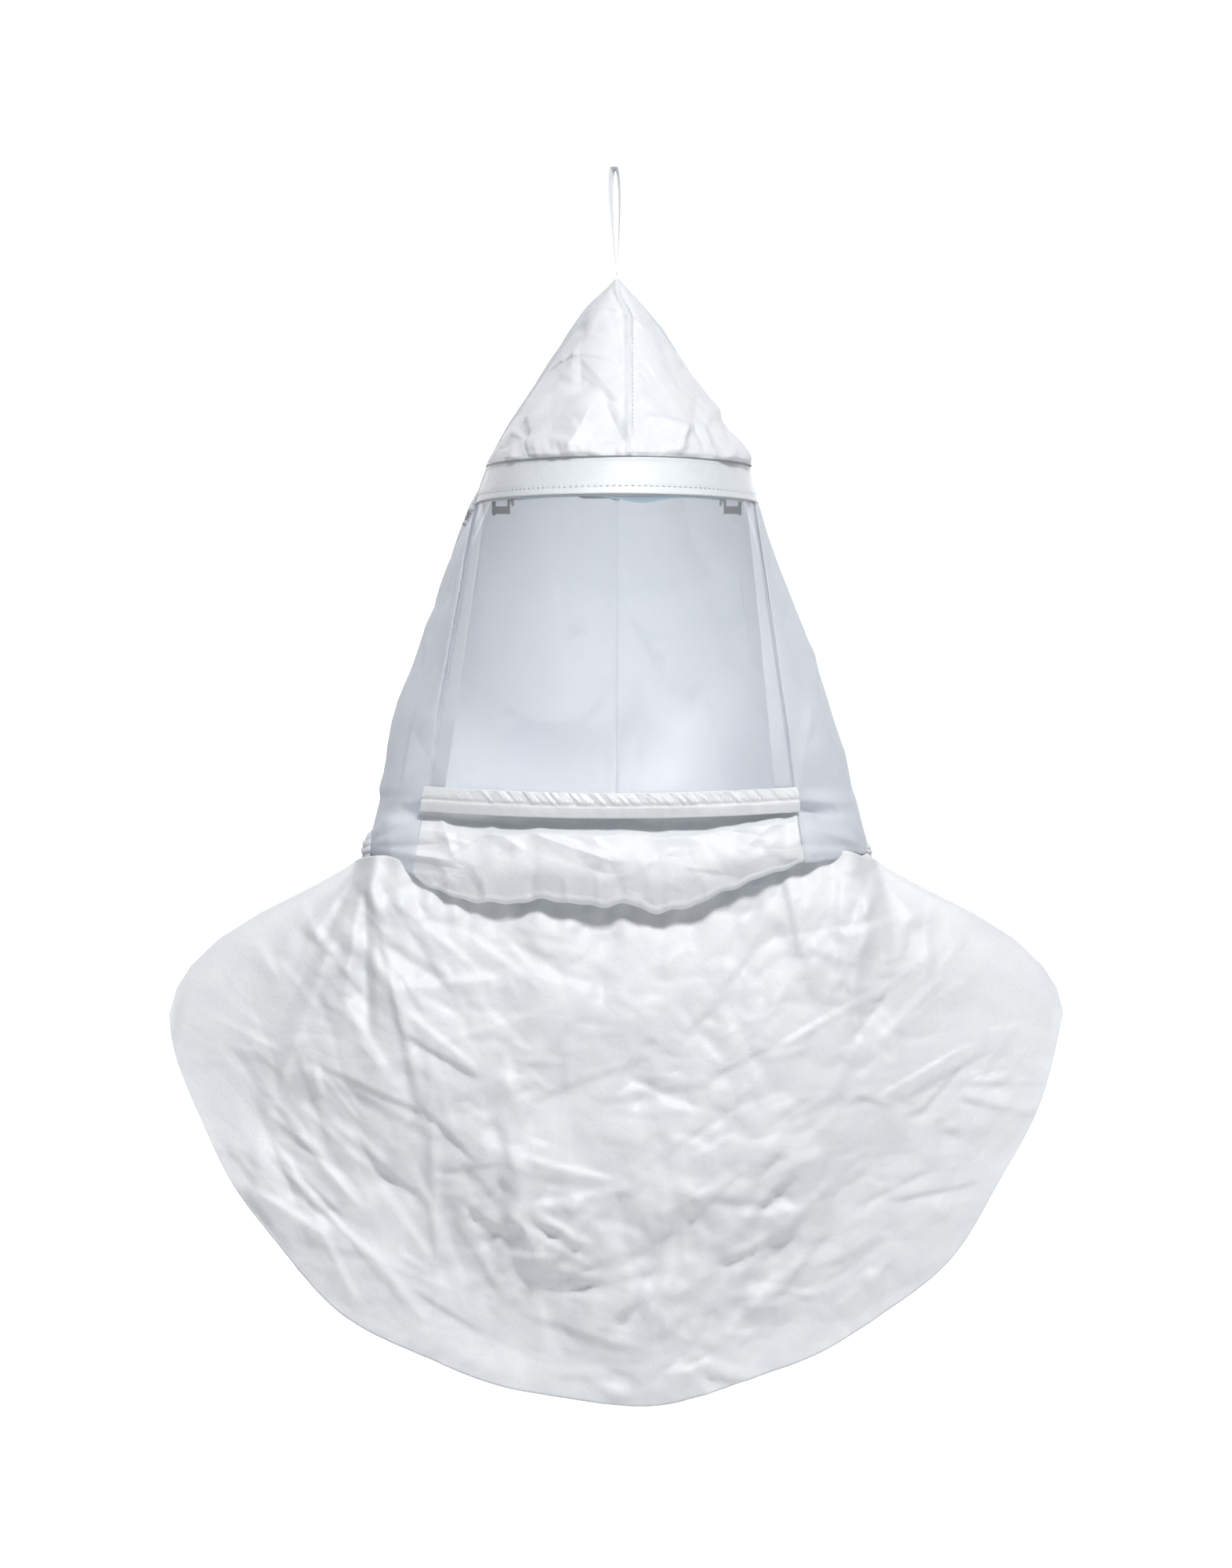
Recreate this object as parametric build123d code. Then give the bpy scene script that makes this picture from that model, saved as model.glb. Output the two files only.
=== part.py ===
"""Loose-fitting protective hood: pointed crown with a hang loop, clear wrap-round lens, elastic neck and
round shoulder cape, with the head suspension and the breathing-air inlet that it is worn with.

Millimetres, +Z up, the lens faces -Y. The origin is the top inside of the hang loop, where a hook bears.
"""
from build123d import *
import os
from math import acos, atan2, cos, degrees, radians, sin

# ---------------------------------------------------------------- driving dimensions
CLOTH = 1.2                 # thickness of the closed solid that stands for one ply of cloth
LENS_THICK = 0.6            # thickness of the solid that stands for the clear film

LOOP_WIDTH = 10.0           # tape width, along Y
LOOP_TAPE = 1.2
LOOP_EYE_HALF = 3.8         # half the inside width of the eye
LOOP_BASE_Z = -82.0

APEX_Z = -86.0
BROW_TOP_Z = -226.0
BROW_BOTTOM_Z = -258.0
LENS_BOTTOM_Z = -485.0
LENS_HALF_TOP = 104.0
LENS_HALF_BOTTOM = 140.0
CHIN_HALF = 152.0           # half width of the chin panel where it meets the neck
LENS_COLUMNS = 12           # flat strips that the lens and the chin panel are made of
SIDE_STRIPS = 3
LOWER_BINDING = 12.0

# Height, half width and half depth of the hood's outside, from the tip to below the neck.
HOOD_STATIONS = [
    (APEX_Z, 3.0, 3.0),
    (-150.0, 47.0, 58.0),
    (-214.0, 92.0, 118.0),
    (BROW_TOP_Z, 97.0, 126.0),
    (BROW_BOTTOM_Z, 107.0, 134.0),
    (-304.0, 123.0, 131.0),
    (-388.0, 149.0, 118.0),
    (-444.0, 170.0, 100.0),
    (-480.0, 181.0, 84.0),
    (-521.0, 190.0, 66.0),
    (-560.0, 192.0, 40.0),
    (-600.0, 192.0, 34.0),
]

# The neck line is an arc in front view. Every neck edge is a cylinder about this centre, along Y.
NECK_ARC = 504.0
NECK_CENTRE_Z = -61.0
CASING_HEIGHT = 14.0
ELASTIC_HEIGHT = 9.0
NECK_SEAM = 1.0             # the hood's cloth ends this far above the casing
NECK_FRONT_Z = -565.0
NECK_GAP = 22.0             # cloth here is drawn loose; the stand-in leaves it open for the fold

# Heights of the cloth's grid. Below the lens, each row is a share of the way to the neck line: -485 less
# 100 times the share.
CROWN_ROWS = [APEX_Z, -118.0, -150.0, -182.0, -214.0, BROW_TOP_Z, BROW_BOTTOM_Z]
LENS_ROWS = [BROW_BOTTOM_Z, -304.0, -346.0, -388.0, -416.0, -444.0, -464.5, LENS_BOTTOM_Z]
CHIN_ROWS = [LENS_BOTTOM_Z, LENS_BOTTOM_Z - 30, LENS_BOTTOM_Z - 65, LENS_BOTTOM_Z - 100]

# Height, half width and half depth of the cape's outside.
CAPE_STATIONS = [
    (-536.0, 206.0, 30.0),
    (-548.0, 225.0, 32.0),
    (-620.0, 335.0, 38.0),
    (-650.0, 352.0, 40.0),
    (-800.0, 370.0, 33.0),
    (-955.0, 370.0, 26.0),
]
CAPE_CORNER = (337.0, -628.0)
HEM_TURN = -3.0             # the hem starts this many degrees nearer the shoulder
HEM_CENTRE_Z = -600.0
FRONT_HEM = 344.0
CAPE_STRIPS = 9             # on each side of the middle
CAPE_ROWS = [0.0, 0.12, 0.28, 0.46, 0.64, 0.82, 1.0]
BACK_HEM = 330.0

# Head suspension, in plan about the head's axis.
BAND_HALF = 80.0            # half the width between the middle of the two side straps
BAND_REACH = 82.0           # how far the brow arc reaches ahead of the straight sides
BAND_ARC_Y = -34.0          # where the straight sides meet the brow arc
BAND_END_Y = 26.0
BAND_THICK = 1.6
BAND_TOP_Z = -234.0
BAND_BOTTOM_Z = -258.0
SWEAT_BOTTOM_Z = -264.0
SWEAT_INSIDE = 3.7
SWEAT_OUTSIDE = 2.2
SWEAT_END_Y = -60.0
CLIP_OUTSIDE = 94.2

STRAP_HALF_WIDTH = 10.0
STRAP_Y = -14.0
STRAP_RISE = 56.0
STRAP_THICK = 1.2
STRAP_FOOT = 18.0
STRAP_BASE_Z = -233.5
PEG_Z = -246.0
STRAP_LAP = 15.0            # how far each half of the strap passes the middle
PEG_R = 2.4

ARM_HALF = 77.9             # the nape arms run just inside the headband's sides
ARM_THICK = 1.6
ARM_CORNER = 42.0
ARM_BACK_Y = 88.0
ARM_START_Y = -10.0
NAPE_Z = -236.0
ARM_HALF_HEIGHT = 10.0
TONGUE_HEIGHT = 4.5
TONGUE_REACH = 24.0
PINION_TIP = 5.2
PINION_ROOT = 4.0
PINION_TEETH = 10

HOUSING_HALF_X = 34.0
HOUSING_HALF_Z = 12.0
HOUSING_CORNER = 9.0
HOUSING_FRONT_Y = 82.0
HOUSING_BACK_Y = 95.0
HOUSING_WALL = 1.8
COVER_THICK = 2.5
SHAFT_R = 4.0
SHAFT_PLAY = 0.1
KNOB_R = 13.0
KNOB_THICK = 9.0
KNOB_GRIPS = 10
GRIP_R = 2.2
KNOB_GAP = 0.5              # between the cover and the knob
SPRING_OUT = 9.8
SPRING_IN = 8.2
PAD_SIZE = (76.0, 20.0, 8.0)
PAD_CORNER = 9.0
TOOTH_STEP = 3.2
TOOTH = 1.6
CLEAR_OF_PINION = 7.0       # half the width over the pinion where the arms carry no teeth

INLET_BORE = 12.5
INLET_TUBE = 15.0
INLET_FLANGE = 20.0
INLET_OUT = 22.0
INLET_IN = 14.0
INLET_Z = -500.5
INLET_PLAY = 0.3            # clearance of the hole in the cloth


# ---------------------------------------------------------------- shared geometry
def tidy(shape):
    """One plain shape from the result of a boolean."""
    solids = shape.solids()
    return solids[0] if len(solids) == 1 else Compound(children=list(solids))


def block(low, high):
    """Box between two corners."""
    size = [high[i] - low[i] for i in range(3)]
    middle = [(high[i] + low[i]) / 2 for i in range(3)]
    return Pos(*middle) * Box(*size)


def between(stations, z):
    """Half width and half depth at a height, straight from station to station."""
    for (z0, a0, b0), (z1, a1, b1) in zip(stations, stations[1:]):
        if z >= z1:
            share = (z0 - z) / (z0 - z1)
            return a0 + share * (a1 - a0), b0 + share * (b1 - b0)
    return stations[-1][1:]


def skin(cells, point, outer, inner):
    """Closed flat-faced solid of one ply: grid cells of four corners, walls where a cell has no neighbour."""
    faces = []
    edges = {}

    def triangle(a, b, c):
        faces.append(Face(Wire.make_polygon([a, b, c])))

    def quad(a, b, c, d):
        triangle(a, b, c)
        triangle(a, c, d)

    for cell in cells:
        quad(*[point(*corner, outer) for corner in cell])
        quad(*[point(*cell[i], inner) for i in (0, 3, 2, 1)])
        for i in range(4):
            edge = (cell[i], cell[(i + 1) % 4])
            if (edge[1], edge[0]) in edges:
                del edges[(edge[1], edge[0])]
            else:
                edges[edge] = True
    for start, end in edges:
        quad(point(*end, outer), point(*start, outer), point(*start, inner), point(*end, inner))
    solid = Solid(Shell(faces))
    return solid if solid.volume > 0 else Solid(Shell([-face for face in faces]))


def grid(columns, rows):
    """Cells of a rectangular grid, as corners (column, row)."""
    return [((i, j), (i, k), (m, k), (m, j))
            for i, m in zip(columns, columns[1:]) for j, k in zip(rows, rows[1:])]


def neck_height(x, drop=0.0):
    """Height of the neck line, or of an arc further down by the drop, at a distance from the middle."""
    radius = NECK_ARC + drop
    return NECK_CENTRE_Z - (radius ** 2 - x ** 2) ** 0.5


def hood_point(column, row, offset):
    """Point of the hood's surface. Columns are degrees about Z, or shares of the lens or side strip."""
    kind, share = column
    z = row if row > LENS_BOTTOM_Z else None
    if z is None:
        level = (LENS_BOTTOM_Z - row) / 100.0
        z = LENS_BOTTOM_Z
        for _ in range(6):
            half_width = between(HOOD_STATIONS, z)[0]
            x = half_width * cos(radians(column_angle(kind, share, z)))
            z = LENS_BOTTOM_Z + level * (neck_height(x) + NECK_SEAM - LENS_BOTTOM_Z)
    angle = radians(column_angle(kind, share, z))
    half_width, half_depth = between(HOOD_STATIONS, z)
    return ((half_width + offset) * cos(angle), (half_depth + offset) * sin(angle), z)


def column_angle(kind, share, z):
    """Angle about Z of a column: plain degrees, across the lens, or from the lens back to the side."""
    if kind == "turn":
        return share
    edge = degrees(acos(min(window_half(z) / between(HOOD_STATIONS, z)[0], 1.0)))
    if kind == "lens":
        return -90.0 + share * (90.0 - edge)
    if kind == "side":
        return -edge * (1 - share)
    return -180.0 + edge * (1 - share)


def window_half(z):
    """Half width of the lens, or of the chin panel below it, at a height."""
    if z >= LENS_BOTTOM_Z:
        share = (BROW_BOTTOM_Z - z) / (BROW_BOTTOM_Z - LENS_BOTTOM_Z)
        return LENS_HALF_TOP + share * (LENS_HALF_BOTTOM - LENS_HALF_TOP)
    share = (LENS_BOTTOM_Z - z) / (LENS_BOTTOM_Z - NECK_FRONT_Z)
    return LENS_HALF_BOTTOM + share * (CHIN_HALF - LENS_HALF_BOTTOM)


def turns(start, end, count):
    """Columns at even angles."""
    return [("turn", start + (end - start) * i / count) for i in range(count + 1)]


def lens_columns(start=-1.0, end=1.0, count=LENS_COLUMNS):
    """Columns across the lens or the chin panel."""
    return [("lens", start + (end - start) * i / count) for i in range(count + 1)]


def neck_point(drop_low, drop_high):
    """Surface function of a band along the neck line: columns are degrees, rows 0 at top and 1 below."""
    def point(column, row, offset):
        angle = radians(column)
        x = between(HOOD_STATIONS, NECK_FRONT_Z)[0] * cos(angle)
        z = neck_height(x, drop_low + row * (drop_high - drop_low))
        half_width, half_depth = between(HOOD_STATIONS, z)
        return ((half_width + offset) * cos(angle), (half_depth + offset) * sin(angle), z)
    return point


def headband_outline(grow, end_y):
    """Plan of the headband: a half ellipse at the brow with straight sides."""
    half = BAND_HALF + grow
    sides = Pos(0, (BAND_ARC_Y + end_y) / 2) * Rectangle(2 * half, end_y - BAND_ARC_Y)
    brow = Pos(0, BAND_ARC_Y) * Ellipse(half, BAND_REACH + grow)
    return sides + (brow & Pos(0, BAND_ARC_Y - 100) * Rectangle(400, 200))


def arm_outline(grow):
    """Plan of the nape strap's loop: a rectangle with wide rounded corners."""
    length = ARM_BACK_Y + 120.0 + grow
    middle = ARM_BACK_Y + grow - length / 2
    return Pos(0, middle) * RectangleRounded(2 * (ARM_HALF + grow), length, ARM_CORNER + grow)


def nape_cylinder(radius, start_y, length):
    """Cylinder on the knob's axis."""
    return Pos(0, start_y + length / 2, NAPE_Z) * Rot(X=90) * Cylinder(radius, length)


# ---------------------------------------------------------------- loop and fabric hood
def hang_loop():
    """Doubled tape with a long narrow eye that closes to a flat stem."""
    half_out = LOOP_EYE_HALF + LOOP_TAPE
    top = -LOOP_EYE_HALF
    outside = make_face([
        ThreePointArc((-half_out, top), (0, LOOP_TAPE), (half_out, top)),
        Line((half_out, top), (LOOP_TAPE + 0.2, -74)),
        Line((LOOP_TAPE + 0.2, -74), (LOOP_TAPE, LOOP_BASE_Z)),
        Line((LOOP_TAPE, LOOP_BASE_Z), (-LOOP_TAPE, LOOP_BASE_Z)),
        Line((-LOOP_TAPE, LOOP_BASE_Z), (-LOOP_TAPE - 0.2, -74)),
        Line((-LOOP_TAPE - 0.2, -74), (-half_out, top)),
    ])
    eye = make_face([
        ThreePointArc((-LOOP_EYE_HALF, top), (0, 0), (LOOP_EYE_HALF, top)),
        Line((LOOP_EYE_HALF, top), (0, -70)),
        Line((0, -70), (-LOOP_EYE_HALF, top)),
    ])
    return extrude(Plane.XZ * (outside - eye), amount=LOOP_WIDTH / 2, both=True)


def crown(side):
    """Front half of the crown on one side of the centre-front seam, down to under the brow band."""
    columns = turns(-90, 0, 6) if side > 0 else turns(-180, -90, 6)
    return skin(grid(columns, CROWN_ROWS), hood_point, 0.0, -CLOTH)


def side_panel(side):
    """Cloth from the lens's side seam back to the side seam."""
    strip = [("side" if side > 0 else "far_side", i / SIDE_STRIPS) for i in range(SIDE_STRIPS + 1)]
    strip[-1] = ("turn", 0 if side > 0 else 180)
    columns = strip if side > 0 else strip[::-1]
    return skin(grid(columns, LENS_ROWS + CHIN_ROWS[1:]), hood_point, 0.0, -CLOTH)


def back_columns(side):
    """Columns from the side seam to the centre-back seam."""
    return turns(0, 90, 6) if side > 0 else turns(90, 180, 6)


def crown_back(side):
    """Back half of the crown on one side, down to the height of the brow band's lower edge."""
    return skin(grid(back_columns(side), CROWN_ROWS), hood_point, 0.0, -CLOTH)


def back_panel(side):
    """Cloth below the crown from the side seam to the centre-back seam, pierced for the air inlet."""
    panel = skin(grid(back_columns(side), LENS_ROWS + CHIN_ROWS[1:]), hood_point, 0.0, -CLOTH)
    return panel - inlet_plane() * Cylinder(INLET_TUBE + INLET_PLAY, 2 * INLET_FLANGE)


def brow_layer(outer, inner):
    """One layer of the brow band, round the front half of the hood."""
    rows = [BROW_TOP_Z, (BROW_TOP_Z + BROW_BOTTOM_Z) / 2, BROW_BOTTOM_Z]
    return skin(grid(turns(-180, 0, 12), rows), hood_point, outer, inner)


def lens_side_binding(side):
    """Tape behind the lens's side edge."""
    inner = 1.0 - 2.0 / LENS_COLUMNS
    columns = lens_columns(inner, 1.0, 1) if side > 0 else lens_columns(-1.0, -inner, 1)
    return skin(grid(columns, LENS_ROWS), hood_point, -CLOTH - 1.5, -CLOTH - 2.5)


def lens_lower_binding():
    """Tape over the lens's bottom edge."""
    rows = [LENS_BOTTOM_Z + LOWER_BINDING, LENS_BOTTOM_Z + 0.1]
    return skin(grid(lens_columns(), rows), hood_point, 0.6 + CLOTH, 0.6)


def neck_band(top, height, outer, inner):
    """Ring along the neck line between two drops below it, closed at the back."""
    point = neck_point(top, top + height)
    halves = [skin(grid([start + 15.0 * i for i in range(13)], [0.0, 1.0]), point, outer, inner)
              for start in (0.0, 180.0)]
    return halves[0] + halves[1]


def cape_depth(x, z):
    """How far the cape's cloth stands from its middle plane."""
    half_width, half_depth = between(CAPE_STATIONS, z)
    return half_depth * max(0.0, 1 - (x / half_width) ** 2)


def cape_panel(side):
    """One round cape panel: its top runs up the shoulders and along the neck's arc, its foot is the hem."""
    hem = FRONT_HEM if side < 0 else BACK_HEM
    hem_start = degrees(acos(min(1.0, CAPE_CORNER[0] / FRONT_HEM)))
    neck_x = CAPE_STATIONS[1][1]
    top_z = neck_height(neck_x, CASING_HEIGHT + NECK_GAP)

    def top_edge(share):
        reach = abs(share)
        if reach <= 0.5:
            x = neck_x * reach / 0.5
            z = neck_height(x, CASING_HEIGHT + NECK_GAP)
        else:
            along = (reach - 0.5) / 0.5
            x = neck_x + along * (CAPE_CORNER[0] - neck_x)
            z = top_z + along * (CAPE_CORNER[1] - top_z)
        return (x if share > 0 else -x), z

    def point(column, row, offset):
        x0, z0 = top_edge(column)
        angle = radians(90 * (1 - abs(column)) + hem_start * abs(column) + HEM_TURN * abs(column))
        x1 = hem * cos(angle) * (1 if column > 0 else -1)
        z1 = HEM_CENTRE_Z - hem * sin(angle)
        x = x0 + row * (x1 - x0)
        z = z0 + row * (z1 - z0)
        return (x, side * (cape_depth(x, z) + 0.15 + offset), z)

    columns = [i / CAPE_STRIPS for i in range(-CAPE_STRIPS, CAPE_STRIPS + 1)]
    return skin(grid(columns, CAPE_ROWS), point, CLOTH, 0.0)


# ---------------------------------------------------------------- head suspension
def headband():
    """Brow strap with straight ends, pierced for the crown strap's pegs."""
    half = BAND_THICK / 2
    plan = headband_outline(half, BAND_END_Y) - headband_outline(-half, BAND_END_Y + 5)
    band = Pos(0, 0, BAND_BOTTOM_Z) * extrude(plan, amount=BAND_TOP_Z - BAND_BOTTOM_Z)
    return band - Pos(0, STRAP_Y, PEG_Z) * Rot(Y=90) * Cylinder(PEG_R + 0.1, 200)


def sweatband():
    """Soft foam band folded round the headband's lower edge at the brow."""
    half = BAND_THICK / 2
    height = BAND_TOP_Z - SWEAT_BOTTOM_Z
    plan = headband_outline(half + SWEAT_OUTSIDE, 0) - headband_outline(-half - SWEAT_INSIDE, 5)
    foam = Pos(0, 0, SWEAT_BOTTOM_Z) * extrude(plan, amount=height)
    pocket = headband_outline(half + 0.15, 0) - headband_outline(-half - 0.15, 5)
    foam -= Pos(0, 0, BAND_BOTTOM_Z - 0.2) * extrude(pocket, amount=50)
    return foam & block((-120, -200, -400), (120, SWEAT_END_Y, 0))


def crown_strap(side):
    """Half of the strap over the head. The left half lies on top and carries the middle pegs."""
    drop = 0.0 if side < 0 else STRAP_THICK + 0.1
    half = BAND_HALF + BAND_THICK / 2 + 0.1 + STRAP_THICK
    rise = STRAP_RISE - drop
    arch = Ellipse(half, rise) - Ellipse(half - STRAP_THICK, rise - STRAP_THICK)
    arch = arch & Pos((half - STRAP_LAP) / 2, 60) * Rectangle(half + STRAP_LAP, 120)
    strap = Pos(0, STRAP_Y, STRAP_BASE_Z) * extrude(Plane.XZ * arch, amount=STRAP_HALF_WIDTH, both=True)
    strap += block((half - STRAP_THICK, STRAP_Y - STRAP_HALF_WIDTH, STRAP_BASE_Z - STRAP_FOOT),
                   (half, STRAP_Y + STRAP_HALF_WIDTH, STRAP_BASE_Z))
    peg_length = half - BAND_HALF + BAND_THICK / 2
    strap += Pos(half - peg_length / 2, STRAP_Y, PEG_Z) * Rot(Y=90) * Cylinder(PEG_R, peg_length - 0.2)
    if side < 0:
        strap = mirror(strap, about=Plane.YZ)
    top = STRAP_BASE_Z + STRAP_RISE
    for x in (-8.0, 8.0):
        if side < 0:
            strap += Pos(x, STRAP_Y, top - 2.0) * Cylinder(1.9, 3.0)
        else:
            strap -= Pos(x, STRAP_Y, top - 2.0) * Cylinder(2.05, 12)
    return strap


def temple_clips():
    """Two small clips that hold the headband to the lens's top corners."""
    clips = []
    for side in (-1, 1):
        plate = block((BAND_HALF + 0.9, -52, -268), (BAND_HALF + 2.6, -36, -238))
        arm = block((BAND_HALF + 0.9, -48, -268), (CLIP_OUTSIDE - 1, -40, -262.5))
        jaw = block((CLIP_OUTSIDE - 2.4, -50, -269), (CLIP_OUTSIDE, -38, -259))
        clip = fillet((plate + arm + jaw).edges().filter_by(Axis.X), 0.6)
        clips.append(clip if side > 0 else mirror(clip, about=Plane.YZ))
    return Compound(children=[solid for clip in clips for solid in clip.solids()])


def nape_arm(side):
    """Toothed nape strap. Its tongue passes the pinion, the left one above and the right one below."""
    half = ARM_THICK / 2
    ring = arm_outline(half) - arm_outline(-half)
    loop = Pos(0, 0, NAPE_Z - ARM_HALF_HEIGHT) * extrude(ring, amount=2 * ARM_HALF_HEIGHT)
    low, high = (-100.0, TONGUE_REACH) if side < 0 else (-TONGUE_REACH, 100.0)
    arm = loop & block((low, ARM_START_Y, -300), (high, 120, -200))
    sign = 1 if side < 0 else -1
    edge = ARM_HALF_HEIGHT - TONGUE_HEIGHT
    low_z, high_z = sorted((NAPE_Z + sign * edge, NAPE_Z - sign * 12))
    arm -= block((-28, 60, low_z), (28, 120, high_z))
    for step in range(-6, 7):
        tooth_x = step * TOOTH_STEP
        if abs(tooth_x) > CLEAR_OF_PINION:
            arm += Pos(tooth_x, ARM_BACK_Y, NAPE_Z + sign * edge) * Box(TOOTH, ARM_THICK, TOOTH)
    return arm


def ratchet_housing():
    """Tray behind the nape, with side slots for the arms."""
    depth = HOUSING_BACK_Y - HOUSING_FRONT_Y
    plan = Plane.XZ * RectangleRounded(2 * HOUSING_HALF_X, 2 * HOUSING_HALF_Z, HOUSING_CORNER)
    shell = Pos(0, HOUSING_BACK_Y, NAPE_Z) * extrude(plan, amount=depth)
    inner_plan = Plane.XZ * RectangleRounded(
        2 * (HOUSING_HALF_X - HOUSING_WALL), 2 * (HOUSING_HALF_Z - HOUSING_WALL), HOUSING_CORNER - HOUSING_WALL)
    hollow = Pos(0, HOUSING_BACK_Y, NAPE_Z) * extrude(inner_plan, amount=depth - HOUSING_WALL)
    slot = Pos(0, ARM_BACK_Y - 1.0, NAPE_Z) * Box(100, ARM_THICK + 4.0, 2 * ARM_HALF_HEIGHT + 1)
    return shell - hollow - slot


def ratchet_cover():
    """Rear plate with the knob's bearing hole."""
    plan = Plane.XZ * RectangleRounded(2 * HOUSING_HALF_X, 2 * HOUSING_HALF_Z, HOUSING_CORNER)
    plate = Pos(0, HOUSING_BACK_Y + COVER_THICK, NAPE_Z) * extrude(plan, amount=COVER_THICK)
    return plate - nape_cylinder(SHAFT_R + SHAFT_PLAY, HOUSING_BACK_Y - 1, COVER_THICK + 2)


def detent_spring():
    """Open leaf ring under the cover that clicks on the pinion's collar."""
    start = HOUSING_BACK_Y - 2.4
    ring = nape_cylinder(SPRING_OUT, start, 1.2) - nape_cylinder(SPRING_IN, start - 1, 3.0)
    return ring - block((-3, start - 2, NAPE_Z), (3, start + 3, NAPE_Z + 20))


def ratchet_pinion():
    """Small gear on the knob's shaft."""
    start = ARM_BACK_Y - 2.0
    core = nape_cylinder(PINION_ROOT, start, HOUSING_BACK_Y + COVER_THICK + KNOB_GAP - start)
    for i in range(PINION_TEETH):
        tooth = Pos(0, start + 2.0, 0) * Box(1.2, 4.0, 2 * PINION_TIP - 0.4)
        core += Pos(0, 0, NAPE_Z) * Rot(Y=180 * i / PINION_TEETH) * tooth
    return core


def ratchet_knob():
    """Scalloped hand knob."""
    start = HOUSING_BACK_Y + COVER_THICK + KNOB_GAP
    knob = nape_cylinder(KNOB_R, start, KNOB_THICK)
    knob = fillet(knob.edges().sort_by(Axis.Y)[-1:], 2.0)
    for i in range(KNOB_GRIPS):
        turn = 360 * i / KNOB_GRIPS
        scoop = Pos(KNOB_R + 1.0, start + KNOB_THICK / 2 + 2, 0) * Rot(X=90) * Cylinder(GRIP_R, KNOB_THICK)
        knob -= Pos(0, 0, NAPE_Z) * Rot(Y=turn) * scoop
    return knob


def nape_pad():
    """Foam pad between the housing and the nape."""
    width, height, depth = PAD_SIZE
    plan = Plane.XZ * RectangleRounded(width, height, PAD_CORNER)
    pad = Pos(0, HOUSING_FRONT_Y, NAPE_Z) * extrude(plan, amount=depth)
    front = HOUSING_FRONT_Y - depth + 1.0
    return fillet(pad.edges().filter_by(lambda edge: edge.center().Y < front), 2.5)


# ---------------------------------------------------------------- breathing-air inlet
def inlet_plane():
    """Plane on the hood's back surface, facing out and down."""
    above = [s for s in HOOD_STATIONS if s[0] >= INLET_Z][-1]
    below = [s for s in HOOD_STATIONS if s[0] < INLET_Z][0]
    share = (above[0] - INLET_Z) / (above[0] - below[0])
    y = above[2] + share * (below[2] - above[2])
    tilt = atan2(above[2] - below[2], above[0] - below[0])
    return Plane(origin=(0, y, INLET_Z), x_dir=(1, 0, 0), z_dir=(0, cos(tilt), -sin(tilt)))


def inlet_ring(outer, inner, start, end):
    """Ring about the inlet's axis."""
    ring = Pos(0, 0, (start + end) / 2) * (Cylinder(outer, end - start) - Cylinder(inner, end - start + 2))
    return inlet_plane() * ring


def air_inlet_flange():
    """Spigot with its outer flange and a snap bead for the breathing tube."""
    body = inlet_ring(INLET_TUBE, INLET_BORE, -INLET_IN, INLET_OUT)
    body += inlet_ring(INLET_FLANGE, INLET_BORE, 1.2, 3.8)
    return body + inlet_ring(INLET_TUBE + 1.0, INLET_BORE, INLET_OUT - 4, INLET_OUT - 2)


def air_inlet_gasket():
    """Soft ring between flange and cloth."""
    return inlet_ring(INLET_FLANGE - 0.5, INLET_TUBE + 0.1, 0.15, 1.2)


def air_inlet_nut():
    """Round nut with finger lugs that clamps the cloth from inside."""
    nut = inlet_ring(INLET_FLANGE - 1, INLET_TUBE + 0.05, -8.5, -3.0)
    lugs = [inlet_plane() * Rot(Z=60 * i) * Pos(INLET_FLANGE - 1.2, 0, -5.75) * Box(3.0, 5.0, 5.5)
            for i in range(6)]
    for lug in lugs:
        nut += lug
    return nut


# ---------------------------------------------------------------- build
def build():
    """Every sub-part by node name."""
    parts = {
        "hang_loop": hang_loop(),
        "brow_band": brow_layer(0.4 + CLOTH, 0.4),
        "brow_band_facing": brow_layer(-CLOTH - 0.4, -CLOTH - 1.4),
        "lens": skin(grid(lens_columns(), LENS_ROWS), hood_point, 0.0, -LENS_THICK),
        "lens_lower_binding": lens_lower_binding(),
        "chin_panel": skin(grid(lens_columns(), CHIN_ROWS), hood_point, 0.0, -CLOTH),
        "neck_casing": neck_band(0.0, CASING_HEIGHT, 0.0, -CLOTH),
        "neck_elastic": neck_band(2.5, ELASTIC_HEIGHT, -CLOTH - 0.6, -CLOTH - 1.6),
        "cape_front": cape_panel(-1),
        "cape_back": cape_panel(1),
        "headband": headband(),
        "sweatband": sweatband(),
        "temple_clips": temple_clips(),
        "ratchet_housing": ratchet_housing(),
        "ratchet_cover": ratchet_cover(),
        "detent_spring": detent_spring(),
        "ratchet_pinion": ratchet_pinion(),
        "ratchet_knob": ratchet_knob(),
        "nape_pad": nape_pad(),
        "air_inlet_flange": air_inlet_flange(),
        "air_inlet_gasket": air_inlet_gasket(),
        "air_inlet_nut": air_inlet_nut(),
    }
    for side, word in ((-1, "left"), (1, "right")):
        parts["crown_" + word] = crown(side)
        parts["side_panel_" + word] = side_panel(side)
        parts["crown_back_" + word] = crown_back(side)
        parts["back_panel_" + word] = back_panel(side)
        parts["lens_side_binding_" + word] = lens_side_binding(side)
        parts["crown_strap_" + word] = crown_strap(side)
        parts["nape_arm_" + word] = nape_arm(side)
    return parts


def main():
    """Write one STEP file for each sub-part."""
    os.makedirs("parts", exist_ok=True)
    for name, shape in build().items():
        export_step(tidy(shape), "parts/" + name + ".step")


if __name__ == "__main__":
    main()
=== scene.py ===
"""Looks of the loose-fitting protective hood: crumpled nonwoven cloth, clear lens, tapes, stitches, foam."""
import math

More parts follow.
